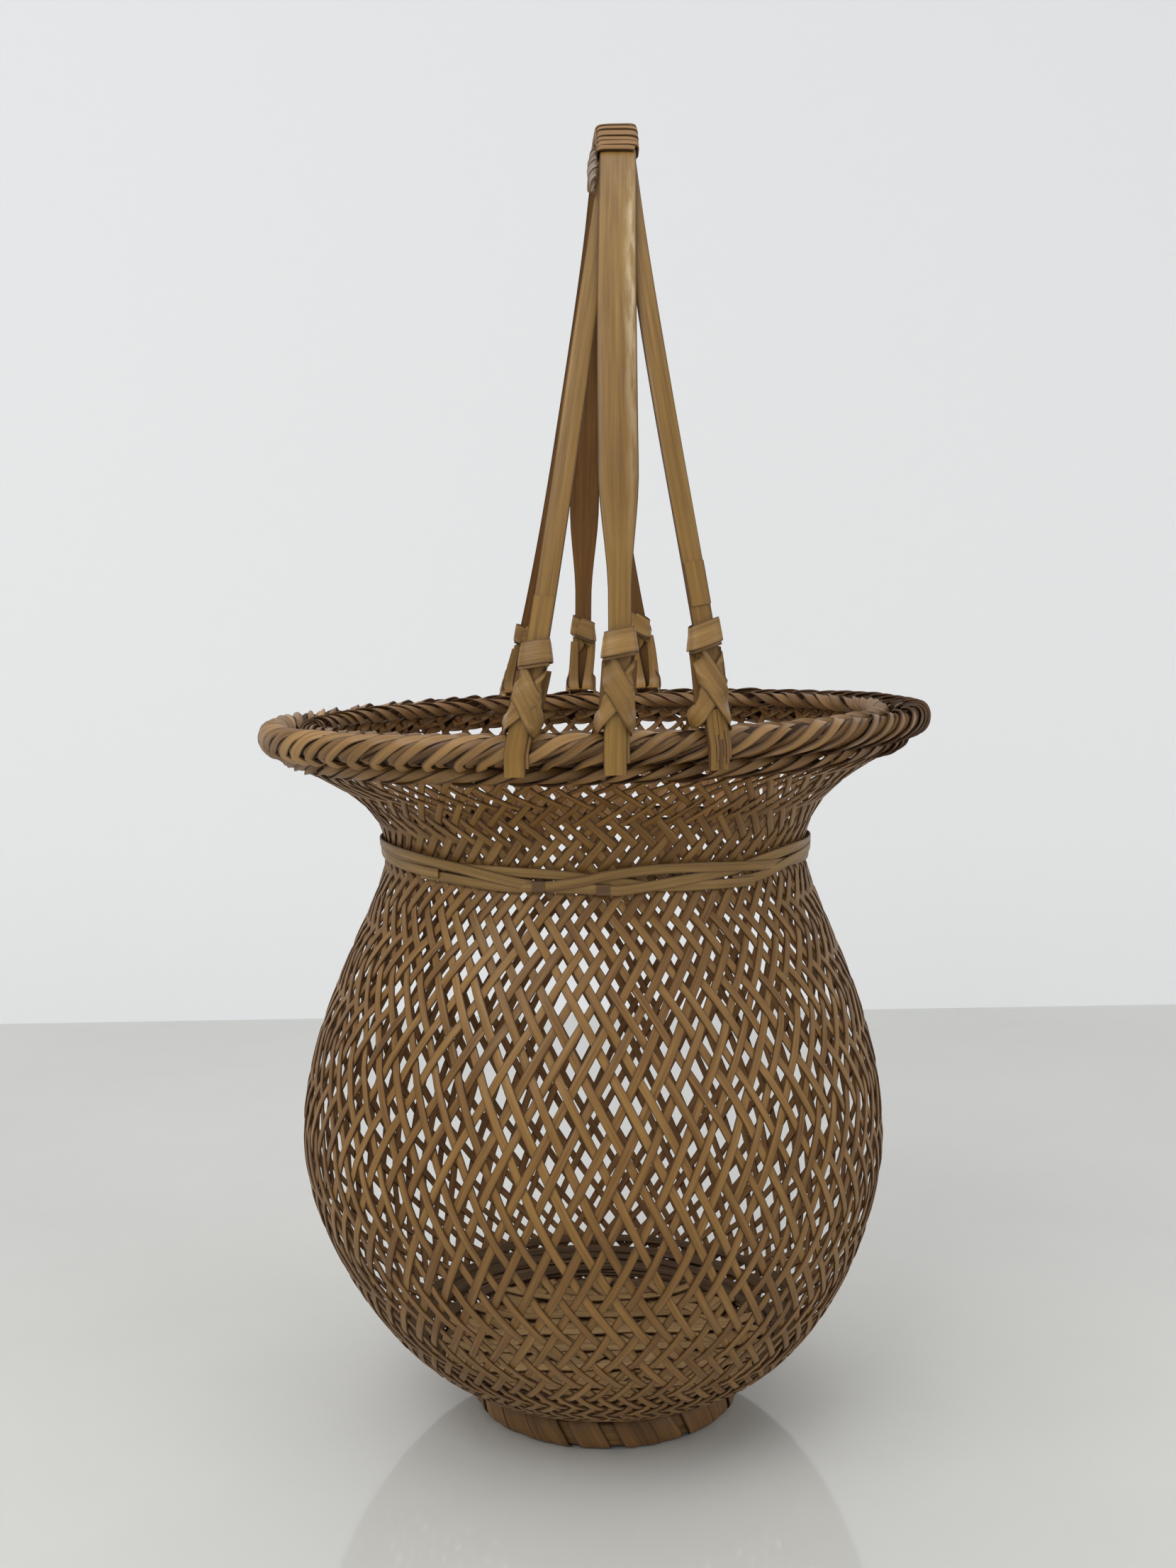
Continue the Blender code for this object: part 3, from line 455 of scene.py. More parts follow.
def mix_colour(tree, share, first, second, blend="MIX"):
    return add_node(tree, "ShaderNodeMix", {0: share, 6: first, 7: second},
                    data_type="RGBA", blend_type=blend).outputs[2]


def noise(tree, vector, scale, detail, roughness=0.5):
    return add_node(tree, "ShaderNodeTexNoise", {
        "Vector": vector, "Scale": scale, "Detail": detail,
        "Roughness": roughness}).outputs["Fac"]


def spread(tree, value, low, high, to_low=0.0, to_high=1.0):
    return add_node(tree, "ShaderNodeMapRange", {
        "Value": value, "From Min": low, "From Max": high, "To Min": to_low,
        "To Max": to_high}).outputs["Result"]


def group_with(name, inputs, outputs):
    """A new shader node group with named inputs and outputs."""
    tree = bpy.data.node_groups.new(name, "ShaderNodeTree")
    for way, sockets in (("INPUT", inputs), ("OUTPUT", outputs)):
        for socket, kind in sockets.items():
            tree.interface.new_socket(socket, in_out=way, socket_type="NodeSocket" + kind)
    start = tree.nodes.new("NodeGroupInput")
    return tree, start.outputs, tree.nodes.new("NodeGroupOutput")


def make_fibre_group():
    """Fibres and tone of a split strip, and painted shade that darkens its edges as the shadow
    between strips. Lay is the distance along it, the place across it from -1 to 1, and a
    number of each strip's own."""
    tree, given, end = group_with(
        "bamboo_fibres",
        {"Lay": "Vector", "Light": "Color", "Dark": "Color", "Fibres": "Float",
         "Streak": "Float", "Variety": "Float", "Edge": "Float", "Edge Start": "Float"},
        {"Color": "Color", "Shine": "Float", "Height": "Float"})
    along, across, own = split(tree, given["Lay"])
    place = add_node(tree, "ShaderNodeCombineXYZ", {
        0: times(tree, along, 70.0),
        1: combine(tree, "MULTIPLY_ADD", own, 91.0, times(tree, across, given["Fibres"])),
        2: times(tree, own, 37.0)}).outputs[0]
    streaks = noise(tree, place, 1.0, 4.0, 0.62)
    clouds = noise(tree, stretch(tree, place, (0.45, 0.16, 1.0)), 1.0, 3.0, 0.55)
    single = add_node(tree, "ShaderNodeTexWhiteNoise", {"W": times(tree, own, 613.0)},
                      noise_dimensions="1D").outputs["Value"]
    tone = combine(tree, "SUBTRACT", spread(tree, streaks, 0.32, 0.68), 0.5)
    tone = times(tree, tone, given["Streak"])
    cloudy = spread(tree, clouds, 0.3, 0.7, -0.3, 0.3)
    variety = times(tree, spread(tree, single, 0.0, 1.0, -0.5, 0.5), given["Variety"])
    total = combine(tree, "ADD", combine(tree, "ADD", tone, cloudy), variety)
    total = combine(tree, "ADD", total, 0.55, clamp=True)
    colour = mix_colour(tree, total, given["Dark"], given["Light"])
    # Painted shade: darken the strip towards its edges, for the shadow between strips and on
    # their sides
    border = spread(tree, combine(tree, "ABSOLUTE", across), given["Edge Start"], 0.99)
    colour = mix_colour(tree, times(tree, border, given["Edge"]), colour, EDGE_SHADE_COLOUR)
    feed(tree, end, {"Color": colour, "Height": streaks,
                     "Shine": spread(tree, streaks, 0.3, 0.7, -0.09, 0.11)})
    lay_out(tree)
    return tree


def make_age_group():
    """Uneven browning and dust of an old basket, in the object's own space."""
    tree, given, end = group_with(
        "bamboo_age",
        {"Color": "Color", "Place": "Vector", "Scale": "Float", "Amount": "Float"},
        {"Color": "Color", "Dull": "Float"})
    coarse = noise(tree, given["Place"], given["Scale"], 3.0, 0.55)
    share = times(tree, spread(tree, coarse, 0.38, 0.68), given["Amount"])
    aged = mix_colour(tree, share, given["Color"], AGE_COLOUR, "MULTIPLY")
    feed(tree, end, {"Color": aged, "Dull": share})
    lay_out(tree)
    return tree


def add_highlight_band(tree, colour, lay, outside, amount):
    """Painted highlight: a pale band that runs down one edge of a broad strip, broken up by
    noise.
    """
    along, across, _ = split(tree, lay)
    near = times(tree, spread(tree, across, -0.28, -0.66), spread(tree, along, 0.05, 0.12))
    far = times(tree, spread(tree, across, -0.96, -0.86), spread(tree, along, 0.178, 0.150))
    patchy = noise(tree, stretch(tree, lay, (90.0, 3.0, 1.0)), 1.0, 5.0)
    mask = times(tree, near, far)
    for share in (spread(tree, patchy, 0.40, 0.60, 0.12, 1.0), outside, amount):
        mask = times(tree, mask, share)
    return mix_colour(tree, mask, colour, HIGHLIGHT_BAND_COLOUR)


def bamboo(name, light, dark, inner, fibres=6.0, streak=0.5, variety=0.5, edge=0.6,
           edge_start=0.68, roughness=0.46, age=0.3, age_scale=22.0, coat=0.0, highlight_band=0.0):
    """A bamboo strip's skin outside and its dull pith inside, with painted shade towards its
    edges and an optional painted highlight band down one edge.
    """
    material = bpy.data.materials.new(name)
    material.use_nodes = True
    tree = material.node_tree
    lay = add_node(tree, "ShaderNodeAttribute", {}, attribute_name="lay").outputs["Vector"]
    face = add_node(tree, "ShaderNodeAttribute", {}, attribute_name="face").outputs["Fac"]
    place = add_node(tree, "ShaderNodeTexCoord", {}).outputs["Object"]
    outside = spread(tree, face, -0.3, 0.7)
    pale, deep = ([channel * tint for channel in inner]
                  for tint in (1 + PITH_CONTRAST, 1 - PITH_CONTRAST))
    skin, pith = (add_node(tree, "ShaderNodeGroup", {
        "Lay": lay, "Light": (*high, 1.0), "Dark": (*low, 1.0), "Fibres": fibres,
        "Streak": streak, "Variety": variety, "Edge": edge, "Edge Start": edge_start,
    }, node_tree=FIBRES).outputs for high, low in ((light, dark), (pale, deep)))
    colour = mix_colour(tree, outside, pith["Color"], skin["Color"])
    # Painted highlight: a pale band down one edge of the strip
    if highlight_band:
        colour = add_highlight_band(tree, colour, lay, outside, highlight_band)
    old = add_node(tree, "ShaderNodeGroup", {
        "Color": colour, "Place": place, "Scale": age_scale, "Amount": age,
    }, node_tree=AGE).outputs
    plain = spread(tree, outside, 0.0, 1.0, PITH_ROUGHNESS, roughness)
    shiny = combine(tree, "SUBTRACT", plain, skin["Shine"])
    raised = add_node(tree, "ShaderNodeBump", {
        "Strength": FIBRE_BUMP, "Distance": 0.25 * MM, "Height": skin["Height"]})
    feed(tree, tree.nodes["Principled BSDF"], {
        "Base Color": old["Color"], "Normal": raised.outputs["Normal"],
        "Roughness": combine(tree, "MULTIPLY_ADD", old["Dull"], 0.3, shiny),
        "Specular IOR Level": 0.35, "Coat Weight": coat, "Coat Roughness": 0.3})
    lay_out(tree)
    return material


FIBRES = make_fibre_group()
AGE = make_age_group()

WALL_BAMBOO = bamboo(
    "wall_bamboo", (0.33, 0.178, 0.047), (0.135, 0.058, 0.012), (0.21, 0.106, 0.038),
    fibres=5.0, edge=0.75)
ROLL_BAMBOO = bamboo(
    "roll_bamboo", (0.41, 0.232, 0.078), (0.135, 0.062, 0.015), (0.17, 0.080, 0.020),
    roughness=0.42, coat=0.05, edge=0.9, variety=0.7)
# Painted shade: the roll's lower layer is a darker copy of the roll's bamboo, for the shade
# under the upper layer
UNDER_BAMBOO = bamboo(
    "under_strip_bamboo", (0.26, 0.138, 0.044), (0.09, 0.040, 0.010), (0.13, 0.060, 0.016),
    edge=0.9, variety=0.7)
ROPE_BAMBOO = bamboo(
    "rope_bamboo", (0.33, 0.182, 0.058), (0.10, 0.044, 0.010), (0.12, 0.055, 0.015), edge=0.8)
INNER_BAMBOO = bamboo(
    "inner_rope_bamboo", (0.28, 0.150, 0.048), (0.11, 0.050, 0.012), (0.13, 0.060, 0.016))
NECK_BAMBOO = bamboo(
    "neck_strand_bamboo", (0.37, 0.222, 0.070), (0.16, 0.084, 0.022), (0.14, 0.080, 0.025),
    variety=0.3, roughness=0.42)
JOINT_BAMBOO = bamboo(
    "bamboo_joint", (0.17, 0.095, 0.040), (0.085, 0.042, 0.016), (0.06, 0.03, 0.010),
    roughness=0.6)
HANDLE_BAMBOO = bamboo(
    "handle_bamboo", (0.34, 0.192, 0.042), (0.15, 0.074, 0.013), (0.18, 0.084, 0.022),
    fibres=16.0, streak=0.30, variety=0.15, edge=0.8, edge_start=0.88, roughness=0.36, age=0.4,
    age_scale=14.0)
# The broad strip carries a painted highlight band down one edge
BROAD_BAMBOO = bamboo(
    "handle_broad_bamboo", (0.34, 0.196, 0.049), (0.16, 0.081, 0.016), (0.18, 0.084, 0.022),
    fibres=24.0, streak=0.30, variety=0.1, edge=0.85, edge_start=0.92, roughness=0.34,
    age=0.35, age_scale=12.0, highlight_band=0.7)
CROWN_BAMBOO = bamboo(
    "crown_bamboo", (0.33, 0.168, 0.036), (0.19, 0.088, 0.016), (0.16, 0.080, 0.022),
    fibres=3.0, streak=0.22, variety=0.2, edge=0.7, edge_start=0.8, age_scale=60.0,
    roughness=0.5)
LASHING_BAMBOO = bamboo(
    "lashing_bamboo", (0.36, 0.208, 0.064), (0.16, 0.080, 0.019), (0.20, 0.105, 0.032),
    fibres=9.0, streak=0.38, variety=0.25, edge=0.8, edge_start=0.84, roughness=0.40)
FOOT_BAMBOO = bamboo(
    "foot_bamboo", (0.29, 0.150, 0.050), (0.10, 0.046, 0.013), (0.09, 0.045, 0.014),
    fibres=12.0, streak=0.35, variety=0.4, edge=0.9, edge_start=0.86)
# Painted shade: the core is coloured near black for the shade inside the rolled rim
CORE_BAMBOO = bamboo(
    "rim_core_bamboo", (0.070, 0.032, 0.010), (0.026, 0.011, 0.004), (0.035, 0.015, 0.005),
    fibres=5.0, roughness=0.8)
# Painted shade: the coil's colours are kept dark for the shade at the bottom of the inside,
# where the wall meets the base
COIL_BAMBOO = bamboo(
    "coil_bamboo", (0.17, 0.105, 0.052), (0.07, 0.038, 0.016), (0.07, 0.038, 0.018),
    roughness=0.75, variety=0.7)
TAIL_BAMBOO = bamboo(
    "tail_bamboo", (0.33, 0.265, 0.20), (0.13, 0.085, 0.052), (0.16, 0.105, 0.062), fibres=4.0,
    variety=0.6, roughness=0.5)
# Painted light: the slats' colours are raised well above the rest of the bamboo to lighten the
# shade inside the basket
INSIDE_BAMBOO = bamboo(
    "inside_bamboo", (0.47, 0.300, 0.125), (0.22, 0.125, 0.045), (0.14, 0.075, 0.026),
    fibres=10.0, roughness=0.7, variety=0.6)


# Plaited wall

def wall_line():
    """Middle of the wall as (radius, height), from its lowest edge to the rim."""
    handles = ((BASE + (BELLY - BASE) * (0.51, 0.02), BELLY - (BELLY - BASE) * (0, 0.38)),
               (BELLY + (NECK - BELLY) * (0, 0.45), NECK - (NECK - BELLY) * (0, 0.17)),
               (NECK + (FLARE - NECK) * (0, 0.65), FLARE - (FLARE - NECK) * (0, 0.08)),
               (FLARE + (1.2 * MM, 2.2 * MM), WEB + (2.2 * MM, -2.8 * MM)))
    points = (BASE, BELLY, NECK, FLARE, WEB)
    parts = [curve(start, near, far, end, steps) for start, (near, far), end, steps in
             zip(points, handles, points[1:], WALL_STEPS)]
    line = np.concatenate([part[:-1] for part in parts] + [parts[-1][-1:]])
    ahead = unit(np.gradient(line, axis=0))
    normals = np.stack([ahead[:, 1], -ahead[:, 0]], 1)
    return line - normals * WALL / 2, normals


def weave_stations():
    """The wall from a rising strip's low end on, and the strip's turn round it."""
    line, normals = wall_line()
    radius, height = line.T
    least = np.interp(height / MM, TURN_HEIGHTS, TURN_RADII) * MM
    lean = np.clip(least / radius, 0.0, 0.996)
    turn_rate = lean / np.sqrt(1 - lean * lean) / radius
    first = int(np.argmax(radius > least * 1.003))
    line, normals, turn_rate = line[first:], normals[first:], turn_rate[first:]
    steps = np.diff(run_length(line)) * (turn_rate[1:] + turn_rate[:-1]) / 2
    return line, normals, np.concatenate([[0.0], np.cumsum(steps)])


def make_wall():
    """Two families of strips in a two-over, two-under twill of level rows."""
    line, normals, turned = weave_stations()
    row = math.pi / STRIPS_EACH_WAY
    blank = make_blank((11, 13))
    at = shares(blank, 0.0, turned[-1])
    radius, height, out, rise = read_line(at, turned, line, normals)
    at = at - np.interp(BAND_HEIGHT, line[:, 1], turned) + (ROWS_OVER - 1) / 2 * row
    wave = np.sin((at / row + 0.5) * math.pi / ROWS_OVER)
    wave = np.clip(wave * WAVE_STEEPNESS, -1.0, 1.0)
    share = shares(blank)
    held = smooth(share * 6.0) * smooth((1 - share) * 8.0)
    change = 1 + sum(more * smooth((height / MM - low) / over)
                     for more, low, over in WIDTH_CHANGES)
    for name, way, replaced in (("wall_rising_strips", 1, ["woven_body"]),
                                ("wall_falling_strips", -1, [])):
        strips = []
        for number in range(STRIPS_EACH_WAY):
            wander = 0.0
            for beats in WANDER_BEATS:
                wander = wander + chance.normal(0.0, WANDER) / beats ** 0.7 * np.sin(
                    share * math.tau * beats + chance.uniform(0.0, math.tau))
            angle = (math.tau * number / STRIPS_EACH_WAY + way * at + wander * held
                     + FRONT_STRIP + FRONT)
            loose = way * wave * (1 + chance.normal(0.0, 0.12)) * RELIEF
            centres = ring_points(radius + out * loose, angle, height + rise * loose)
            width = STRIP_WIDTH * (chance.uniform(0.93, 1.07)
                                   + 0.04 * np.sin(share * 9.0 + chance.uniform(0.0, 6.0)))
            strips.append(lay_strip(blank, centres, ring_points(out, angle, rise),
                                    width * change, STRIP_THICKNESS,
                                    roll=chance.normal(0.0, 0.05)))
        join(name, strips, WALL_BAMBOO, "body", *replaced)


# Rim: strips that wrap a ring's section while they run round it

def ring_route(ring, level, size, wrap, angle):
    """Centres and outward directions at angles round a ring's section of some size."""
    out, rise = np.cos(wrap), np.sin(wrap)
    return (ring_points(ring + size * out, angle, level + size * rise),
            ring_points(out, angle, rise))


def wrap_strips(blank, radius, height, section, first, last, run, width,
                count=STRIPS_EACH_WAY, roll=0.0, way=1, jitter=1.0, back_lift=0.0):
    """Strips round a ring's section from one angle to another, in degrees from
    its outside over its top. run is the run round the rim for each radian."""
    strips = []
    wrap = np.radians(shares(blank, first, last))
    for number in range(count):
        start = math.tau * number / count + chance.normal(0.0, 0.004) * jitter
        pace = run * (1 + chance.normal(0.0, 0.05) * jitter)
        angle = start + way * pace * wrap / radius + FRONT
        size = section + chance.normal(0.0, 0.00012) * jitter
        level = height + back_lift * (1 + np.sin(angle)) / 2
        wide = width * (1 + chance.normal(0.0, 0.05) * jitter)
        strips.append(lay_strip(blank, *ring_route(radius, level, size, wrap, angle), wide,
                                STRIP_THICKNESS, roll=roll))
    return strips


def roll_strips(blank, shift, shorter, run, proud, swell, droop, width, roll):
    """Strips of one layer of the outer roll. On the left each hooks back under the
    roll, on the right it runs on along the roll's foot, and an upper strip stops
    there as a rounded finger at the crest."""
    strips = []
    ring = MOUTH_RADIUS - ROLL_SECTION
    for number in range(STRIPS_EACH_WAY):
        start = (math.tau * (number + shift) / STRIPS_EACH_WAY + chance.normal(0.0, 0.0050)
                 + FRONT)
        right = float(smooth(0.5 + 0.62 * math.cos(start) - 0.18 * math.sin(start)))
        last = ROLL_LAST - shorter * right + chance.normal(0.0, 4.0)
        wrap = np.radians(shares(blank, ROLL_FIRST, last))
        ahead = run * (1 + chance.normal(0.0, 0.07)) * np.clip(wrap + 0.45, -0.25, 9.0)
        hook = HOOK_LEFT + (HOOK_RIGHT - HOOK_LEFT) * right + chance.normal(0.0, 0.5)
        hook = hook * smooth((-0.25 - wrap) / 1.1)
        angle = start + (ahead + hook) * MM / ring
        out = (proud + chance.normal(0.0, 0.14)
               + swell * np.sin(np.clip(wrap + 0.3, 0.0, math.pi) * 0.9)
               + droop * (1 - right) * np.exp(-((wrap + 1.0) / 0.55) ** 2))
        size = np.minimum(out * MM, ROLL_MOST) - CREST_DROP * smooth((wrap - 0.5) / 0.9)
        wide = width * (1 + chance.normal(0.0, 0.08)) * MM
        ends = smooth((wrap - wrap[0]) / 0.4) * smooth((wrap[-1] - wrap) / 0.22)
        strips.append(lay_strip(blank, *ring_route(ring, RIM_HEIGHT, size, wrap, angle),
                                wide * (0.62 + 0.38 * ends), ROLL_STRIP, roll=roll))
    return strips


def make_rim():
    blank = make_blank((3, 6))
    join("rim_roll_strips", roll_strips(blank, **ROLL_OVER), ROLL_BAMBOO, "rim",
         "rim_outer_roll")
    join("rim_roll_under_strips", roll_strips(blank, **ROLL_UNDER), UNDER_BAMBOO, "rim")
    join("rim_roll_core", wrap_strips(blank, **ROLL_CORE), CORE_BAMBOO, "rim")
    blank = make_blank((3, 4))
    join("rim_lower_rope_strips", wrap_strips(blank, **LOWER_ROPE), ROPE_BAMBOO, "rim",
         "rim_lower_rope")
    join("rim_crossing_strips", wrap_strips(blank, **CROSSING), ROPE_BAMBOO, "rim")
    join("rim_inner_rope_strips", wrap_strips(blank, **INNER_ROPE), INNER_BAMBOO, "rim",
         "rim_inner_rope")


# Neck

def neck_strip(blank, points, width, thickness):
    """A strip round the neck through rows of degrees, height and layer."""
    line, normals = wall_line()
    degrees, level, layer = flow(points, blank["steps"]).T
    angle = np.radians(degrees) + FRONT
    radius, height, _, rise = read_line(level * MM, line[:, 1], line, normals)
    reach = np.maximum(radius, NECK[0]) + WALL / 2 + layer * NECK_LAYER
    return lay_strip(blank, ring_points(reach, angle, height),
                     unit(ring_points(1.0, angle, rise * 0.5)), width, thickness)


def make_neck():
    blank = make_blank((11, 11))
    strands = [neck_strip(blank, points, NECK_WIDTH - 0.05 * number * MM, NECK_THICKNESS)
               for number, points in enumerate(NECK_STRANDS)]
    join("neck_strands", strands, NECK_BAMBOO, "neck", "neck_winding")
    blank = make_blank((3,), rounding=2)
    joints = [neck_strip(blank, [(degrees + step, height, 1.3)
                                 for step in (-1.6, -0.6, 0.6, 1.6)],
                         JOINT_WIDTH, JOINT_THICKNESS) for degrees, height in NECK_JOINTS]
    join("neck_bamboo_joints", joints, JOINT_BAMBOO, "neck")


# Routes wound round something

def rounded_loop(angle, width, depth, sharpness):
    """Places and outward directions on a rounded rectangle, at angles round it."""
    size = np.array((width, depth))
    round_it = np.stack([np.cos(angle), np.sin(angle)], 1)
    loop = size / 2 * np.sign(round_it) * np.abs(round_it) ** (2 / sharpness)
    normal = np.sign(round_it) * np.abs(round_it) ** (2 - 2 / sharpness) / size
    return loop, unit(normal)


def wound_route(frames, turns, width, depth, start, sharpness, growth=0.0):
    """Centres and outward directions of a strip wound round a carrier, whose middle,
    across and outward directions frames holds. Each turn adds growth to the loop."""
    middle, across, outward = frames
    share = np.linspace(0.0, 1.0, len(middle))
    loop, normal = rounded_loop(start + math.tau * turns * share, 1.0, 1.0, sharpness)
    size = np.array((width, depth)) + growth * turns * share[:, None]
    place, slope = loop * size, unit(normal / size)
    return (middle + across * place[:, :1] + outward * place[:, 1:],
            across * slope[:, :1] + outward * slope[:, 1:])


# Foot ring: a bent hoop and the broad strip wound round it

def make_foot():
    ring = FOOT_RADIUS - FOOT_INSET - HOOP_THICKNESS / 2
    blank = make_blank((7, 11), rounding=2)
    angle = shares(blank, 0.0, math.tau * HOOP_TURNS)
    reach = ring + 0.25 * MM * np.cos(angle / HOOP_TURNS)
    hoop = lay_strip(blank, ring_points(reach, angle, FOOT_HEIGHT / 2),
                     ring_points(1.0, angle, 0.0), FOOT_HEIGHT - 2.4 * MM,
                     HOOP_THICKNESS - 0.6 * MM)
    join("foot_bent_hoop", [hoop], ROPE_BAMBOO, "foot", "foot_hoop")

    loop, facing = rounded_loop(np.linspace(0.0, math.tau, 241) + FRONT - 0.9,
                                HOOP_THICKNESS + 1.2 * MM, FOOT_HEIGHT - 1.1 * MM, 3.4)
    far = run_length(loop)
    blank = make_blank((7, 5))
    where = blank["station"]
    lift = blank["out"] * TAPE_THICKNESS
    middle = shares(blank, 0.0, far[-1])
    wraps = []
    for number in range(FOOT_WRAPS):
        start = math.tau * (number + chance.normal(0.0, 0.10)) / FOOT_WRAPS
        across = blank["across"] * WRAP_WIDTH * (1 + chance.normal(0.0, 0.09))
        slant = WRAP_SLANT + chance.normal(0.0, 0.07)
        shift = -slant * np.interp(middle, far, loop[:, 1])
        ahead = unit(np.gradient(np.stack([middle, shift], 1), axis=0))[where]
        spot = np.mod(middle[where] - ahead[:, 1] * across, far[-1])
        x, y, out, rise = read_line(spot, far, loop, facing)
        reach = ring + x + (0.2 * (number % 2) - 0.1) * MM + out * lift
        angle = start + (shift[where] + ahead[:, 0] * across) / ring
        height = FOOT_HEIGHT / 2 + 0.1 * MM + y + rise * lift
        wraps.append(copy_blank(blank, ring_points(reach, angle, height), middle))
    join("foot_wrapping", wraps, FOOT_BAMBOO, "foot", "foot_binding")


# Base, seen through the wall: crossing slats and the coil over their ends

def bowl(radius, lift):
    """Height of a slat lying in the bowl of the wall at a radius."""
    line, normals = wall_line()
    inside = (line - normals * (WALL / 2 + 0.4 * MM))[LOW_WALL]
    return np.maximum(np.interp(radius, *inside.T), BASE[1] + 0.4 * MM) + lift


def make_base():
    blank = make_blank((11,))
    slats = []
    for layer, (turn, width, pitch, reach) in enumerate(SLAT_LAYERS):
        count = 2 * int(reach / pitch) + 1
        for index in range(count):
            offset = (index - (count - 1) / 2) * pitch + chance.normal(0.0, 0.4)
            inside = reach ** 2 - offset ** 2
            if inside <= 0:
                continue
            run = shares(blank, -1.0, 1.0) * math.sqrt(inside)
            x = run * math.cos(turn) - offset * math.sin(turn)
            y = run * math.sin(turn) + offset * math.cos(turn)
            wave = 0.22 * np.sin(run / 4.5 + index * math.pi)
            z = bowl(np.hypot(x, y) * MM, SLAT_THICKNESS * layer + wave * MM)
            centres = np.stack([x * MM, y * MM, z], 1)
            slats.append(lay_strip(blank, centres, np.broadcast_to(UP, centres.shape),
                                   width * chance.uniform(0.9, 1.08) * MM, SLAT_THICKNESS))
    names = [f"base_slat_{layer}_{index}" for layer in ("lower", "upper")
             for index in (1, 2, 3)]
    join("base_crossed_slats", slats, INSIDE_BAMBOO, "inside", *names)

    blank = make_blank((11, 21))
    share = shares(blank)
    line, normals = wall_line()
    along = run_length(line)
    start = np.interp(COIL_START, line[LOW_WALL, 0], along[LOW_WALL])
    coils = []
    for number in range(3):
        angle = math.tau * (COIL_TURNS * share + 0.31 * number) + 1.0
        where = start + (COIL_RISE * share + 1.7 * number + 0.8 * np.sin(angle * 1.7 + number)
                         + 0.5 * np.sin(angle * 2.9 + 2.0 * number)) * MM
        radius, height, out, rise = read_line(where, along, line, normals)
        inset = WALL / 2 + (0.9 + 0.55 * number + 0.3 * np.sin(angle * 2.3)) * MM
        coils.append(lay_strip(
            blank, ring_points(radius - out * inset, angle, height - rise * inset),
            -ring_points(out, angle, rise), COIL_WIDTH, COIL_THICKNESS,
            roll=0.25 * np.sin(angle * 3.1 + number)))
    join("base_coiled_strips", coils, COIL_BAMBOO, "inside", "base_coil")


# Handle

def arch_line():
    """The handle's outer line and outward directions, from front tongue to back."""
    foot = np.array((MOUTH_RADIUS + GAP + CENTRE_THICKNESS / 2, RIM_HEIGHT))
    top = HANDLE_TOP - ARCH_DROP - CROWN_STRAND - GAP - CENTRE_THICKNESS / 2
    half = curve(foot, foot + (0.0, (top - RIM_HEIGHT) * 0.55),
                 np.array((foot[0] * 0.47, top)), np.array((0.0, top)), ARCH_STEPS)
    tongue = [(foot[0], RIM_HEIGHT - TONGUE_DROP * share) for share in (1, 0.75, 0.5, 0.25)]
    half = np.concatenate([tongue, half])
    line = np.concatenate([half * (-1, 1), half[-2::-1]])
    ahead = unit(np.gradient(line, axis=0))
    return line, np.stack([-ahead[:, 1], ahead[:, 0]], 1)


def arch_frames(ahead):
    """Middle, across and outward direction of the arch, at distances from its top."""
    line, normals = arch_line()
    along = run_length(line)
    y, z, out_y, out_z = read_line(along[-1] / 2 + ahead, along, line, normals)
    middle = np.stack([0 * y, y, z], 1)
    return (middle, np.broadcast_to((1.0, 0.0, 0.0), middle.shape),
            np.stack([0 * y, out_y, out_z], 1))


def strip_line(side):
    """Centres and outward directions of the left, centre or right handle strip."""
    line, normals = arch_line()
    if side == 0:
        return (np.stack([0 * line[:, 0], *line.T], 1),
                np.stack([0 * line[:, 0], *normals.T], 1))
    reach = MOUTH_RADIUS + GAP + SIDE_THICKNESS / 2
    drop = np.clip((SPLIT_HEIGHT - line[:, 1]) / (SPLIT_HEIGHT - RIM_HEIGHT), 0.0, 1.0)
    at_front = line[:, 0] < 0
    share = drop ** np.where(at_front, FRONT_SPLAYS[side], BACK_SPLAY)
    spread_out = np.where(at_front, FRONT_SPREADS[side], BACK_SPREAD)
    layer = CENTRE_THICKNESS / 2 + GAP + SIDE_THICKNESS / 2
    inset = layer * (1 - smooth((share - LAYER_SHARE) / (1 - LAYER_SHARE)))
    place = line - normals * inset[:, None]
    swing = np.arcsin(spread_out / MOUTH_RADIUS)
    narrowing = reach * np.cos(swing) / abs(line[0, 0])
    depth = place[:, 0] * (1 + (narrowing - 1) * share)
    near = (SIDE_TOP_WIDTH + GAP) / 2
    offset = near + (spread_out * reach / MOUTH_RADIUS - near) * share
    turn = swing * share * side * np.abs(normals[:, 0])
    outward = np.stack([np.sin(turn), normals[:, 0] * np.cos(turn), normals[:, 1]], 1)
    return np.stack([side * offset, depth, place[:, 1]], 1), unit(outward)


def make_handle():
    blank = make_blank((7, 12), rounding=3, softness=0.3)
    centres, outward = strip_line(0)
    share = smooth((centres[:, 2] - SHOULDER_HEIGHT + SHOULDER_LENGTH) / SHOULDER_LENGTH)
    high = smooth((centres[:, 2] - TOP_TAPER_HEIGHT) / TOP_TAPER_LENGTH)
    broad = CENTRE_WIDTH + (CENTRE_TOP_WIDTH - CENTRE_WIDTH) * high
    width = CENTRE_FOOT_WIDTH + (broad - CENTRE_FOOT_WIDTH) * share
    strip = lay_strip(blank, centres, outward, width, CENTRE_THICKNESS, turn=HANDLE_YAW)
    join("handle_broad_strip", [strip], BROAD_BAMBOO, "handle", "handle_centre_strip")
    width = SIDE_WIDTH + (SIDE_TOP_WIDTH - SIDE_WIDTH) * high
    for name, side in (("left", -1), ("right", 1)):
        strip = lay_strip(blank, *strip_line(side), width, SIDE_THICKNESS, turn=HANDLE_YAW)
        join(f"handle_{name}_narrow_strip", [strip], HANDLE_BAMBOO, "handle",
             f"handle_{name}_strip")


